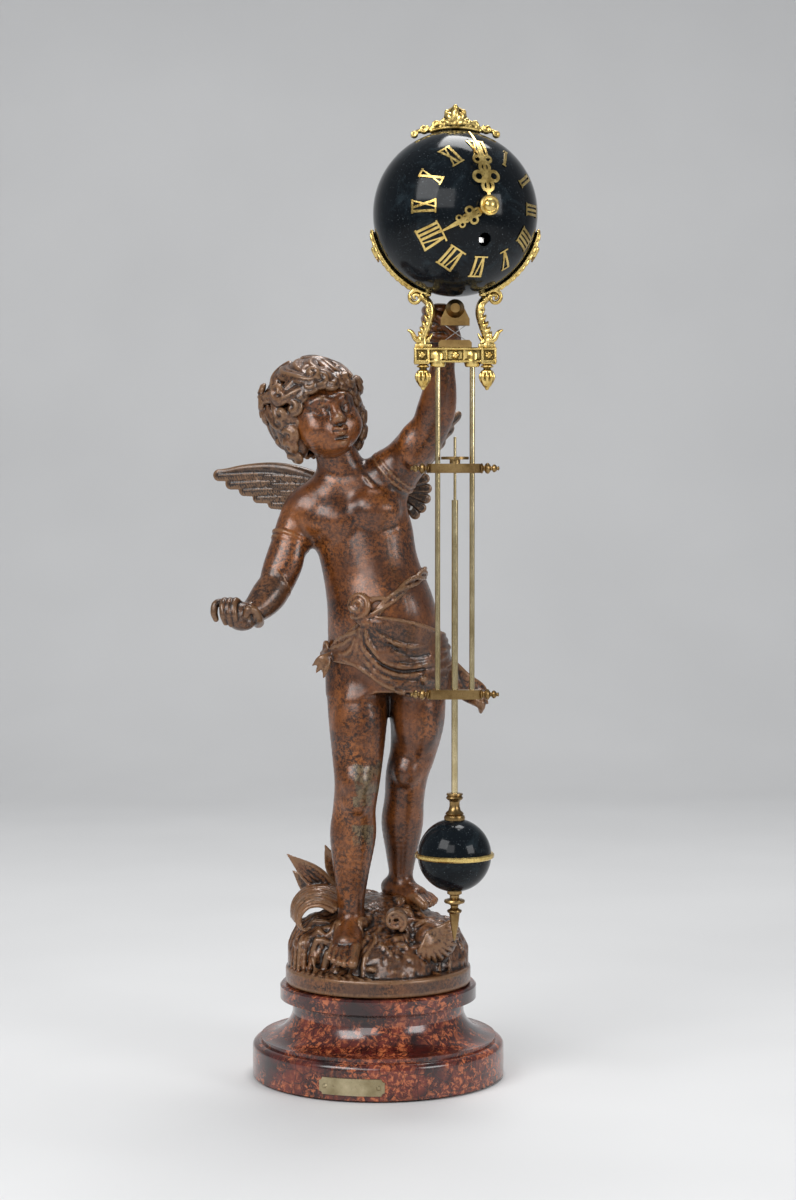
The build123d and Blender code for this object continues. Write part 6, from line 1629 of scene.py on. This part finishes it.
cast("body_legs", (-50, -72, 15), (62, 52, 236), 0.95, sculpt_figure, "right_leg", "left_leg", bare=bare_leg)
cast("body_torso", (-92, -52, 236), (70, 50, 451), 1.0, sculpt_figure, "torso", ash=forearm_tone)
wrist = (0, -84, 1)
hand_box = ((-122, -60, 250), (-84, -16, 292))
cast("body_open_hand", *hand_box, 0.5, sculpt_figure, "right_arm", tuck=wrist, ash=toned(0.7))
wrist = (2, STAND_TOP + 443, -1)
cast("body_fist", (18, -62, 443), (74, -8, 496), 0.5, sculpt_figure, "left_arm", tuck=wrist)
cast("head_face", (-84, -56, 378), (4, 34, 456), 0.6, sculpt_face, "head")
cast("head_hair", (-100, -60, 366), (14, 54, 470), 0.78, sculpt_hair, ash=toned(0.75))
for wing, laid in WINGS.items():
    way = unit(laid[1])
    ends = np.array((laid[0] + way * 90, laid[0] - way * 20))
    sculpture(
        wing + "_feathers",
        ends.min(0) - 22,
        ends.max(0) + 22,
        0.6,
        lambda clay: sculpt_wing(clay, *laid),
        BRONZE,
        (wing,),
        "stand",
        marks={"ash": toned(1.0)},
    )
cast("wing_root_fan", (4, 10, 328), (46, 34, 384), 0.5, sculpt_fan, ash=toned(1.0))
cast("loincloth_folds", (-56, -56, 192), (90, 54, 316), 0.8, sculpt_cloth, "loincloth", ash=toned(0.4))
cast("ground_mound", (-74, -70, -2), (70, 70, 102), 0.95, sculpt_ground, "ground_casting", ash=toned(0.5))

gilded("bar_relief", (-31, -9, BAR_LOW - 2), (31, 9, BAR_HIGH + 2), 0.4, sculpt_bar, "frame_bar")
for side, node in ((-1, "cradle_left"), (1, "cradle_right")):
    left, right = sorted((side * 8, side * 66))
    low, high = (left, -8, BAR_HIGH - 2), (right, 8, BALL_Z - 6)
    gilded(node + "_relief", low, high, 0.45, lambda clay: sculpt_cradle(clay, side), node)
gilded("crest_relief", (-34, -8, BALL_Z + 46), (34, 8, BALL_Z + 80), 0.42, sculpt_crest, "crest")
gilded("drop_relief", (-30, -8, BAR_LOW - 20), (30, 8, BAR_LOW + 2), 0.42, sculpt_drops, "bar_drops")

for index, node in enumerate(("upper_crossbar", "lower_crossbar")):
    low, high = (np.array(corner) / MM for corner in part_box(node))
    middle = (low + high) / 2
    for side, end in ((-1, low[0]), (1, high[0])):
        finial = lathe(f"{node}_finial_{side + 1}", FINIAL, (end, middle[1], middle[2]), (side, 0, 0))
        first = index == 0 and side < 0
        finish_piece(finial, "swinger", TURNED, ("crossbar_finials",) if first else ())
hub_at = sum(np.array(corner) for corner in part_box("hand_nut")) / 2 / MM
hub_way = hub_at - (PEND_X, PEND_Y, hub_at[2])
finish_piece(lathe("hub_collet", HUB, hub_at, hub_way), "minute", GILT, ("hand_nut",))
collar_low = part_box("bob_collar")[0][2] / MM
finish_piece(lathe("turned_collar", COLLAR, (PEND_X, PEND_Y, collar_low)), "bob", TURNED, ("bob_collar",))
tip_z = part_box("bob_finial")[0][2] / MM
pendant = lathe("turned_bob_finial", BOB_FINIAL, (PEND_X, PEND_Y, tip_z + BOB_FINIAL[-1][1]), (0, 0, -1))
finish_piece(pendant, "bob", TURNED, ("bob_finial",))


# Soft lamps: place and aim in metres, size in metres and power in watts
LAMPS = {
    "key": ((-1.3, -1.5, 1.7), (0, 0, 0.35), 1.2, 32),
    "front": ((-0.45, -1.9, 1.15), (0, 0, 0.35), 0.9, 9),
    "fill": ((1.6, -1.2, 0.9), (0, 0, 0.35), 0.8, 14),
    "top": ((0.2, 0.5, 2.0), (0, 0, 0.3), 0.8, 20),
}
SKY = (0.62, 0.64, 0.67, 1)
SKY_STRENGTH = 0.42
# Floor in metres: half width, front edge, start and radius of its bend, and top; and its tones
FLOOR_HALF = 5.0
FLOOR_FRONT = -3.0
BEND_FROM = 1.6
BEND_R = 0.9
FLOOR_TOP = 4.0
FLOOR = [(0.3, (0.70, 0.70, 0.70)), (0.7, (0.74, 0.74, 0.74))]


def photo_camera():
    """The camera of the photograph."""
    data = bpy.data.cameras.new("camera")
    data.sensor_fit = "VERTICAL"
    data.sensor_height = SENSOR
    data.lens = FOCAL_PX * SENSOR / PHOTO_H
    data.clip_start = 0.05
    data.clip_end = 30
    camera = bpy.data.objects.new("camera", data)
    camera.location = [value * MM for value in CAMERA_AT]
    camera.rotation_euler = (math.pi / 2 - math.atan(PITCH_PX / FOCAL_PX), 0, 0)
    bpy.context.scene.collection.objects.link(camera)
    bpy.context.scene.camera = camera


def soft_lamp(name, at, aim, size, power):
    """A square soft lamp aimed at a point."""
    data = bpy.data.lights.new(name, "AREA")
    data.shape = "SQUARE"
    data.size = size
    data.energy = power
    lamp = bpy.data.objects.new(name, data)
    lamp.location = at
    lamp.rotation_euler = (Vector(aim) - Vector(at)).to_track_quat("-Z", "Y").to_euler()
    bpy.context.scene.collection.objects.link(lamp)


def studio():
    """A pale floor that curves up behind, soft lamps and a pale world."""
    scene = bpy.context.scene
    scene.view_settings.view_transform = "Standard"
    rows = [(FLOOR_FRONT, 0.0), (BEND_FROM, 0.0)]
    for turn in np.linspace(0.15, math.pi / 2, 10):
        rows.append((BEND_FROM + BEND_R * math.sin(turn), BEND_R - BEND_R * math.cos(turn)))
    rows.append((BEND_FROM + BEND_R, FLOOR_TOP))
    points = [(x, y, z) for y, z in rows for x in (-FLOOR_HALF, FLOOR_HALF)]
    faces = [(2 * i, 2 * i + 1, 2 * i + 3, 2 * i + 2) for i in range(len(rows) - 1)]
    floor = mesh_object("floor", points, faces)
    shader = Shader("floor")
    tone = shader.ramp(shader.noise(3, detail=2), FLOOR)
    floor.data.materials.append(shader.dressed({"Base Color": tone, "Roughness": 0.6}))
    world = bpy.data.worlds.new("studio")
    world.use_nodes = True
    sky = world.node_tree.nodes["Background"]
    sky.inputs["Color"].default_value = SKY
    sky.inputs["Strength"].default_value = SKY_STRENGTH
    scene.world = world
    for name, lamp in LAMPS.items():
        soft_lamp(name, *lamp)


photo_camera()
studio()
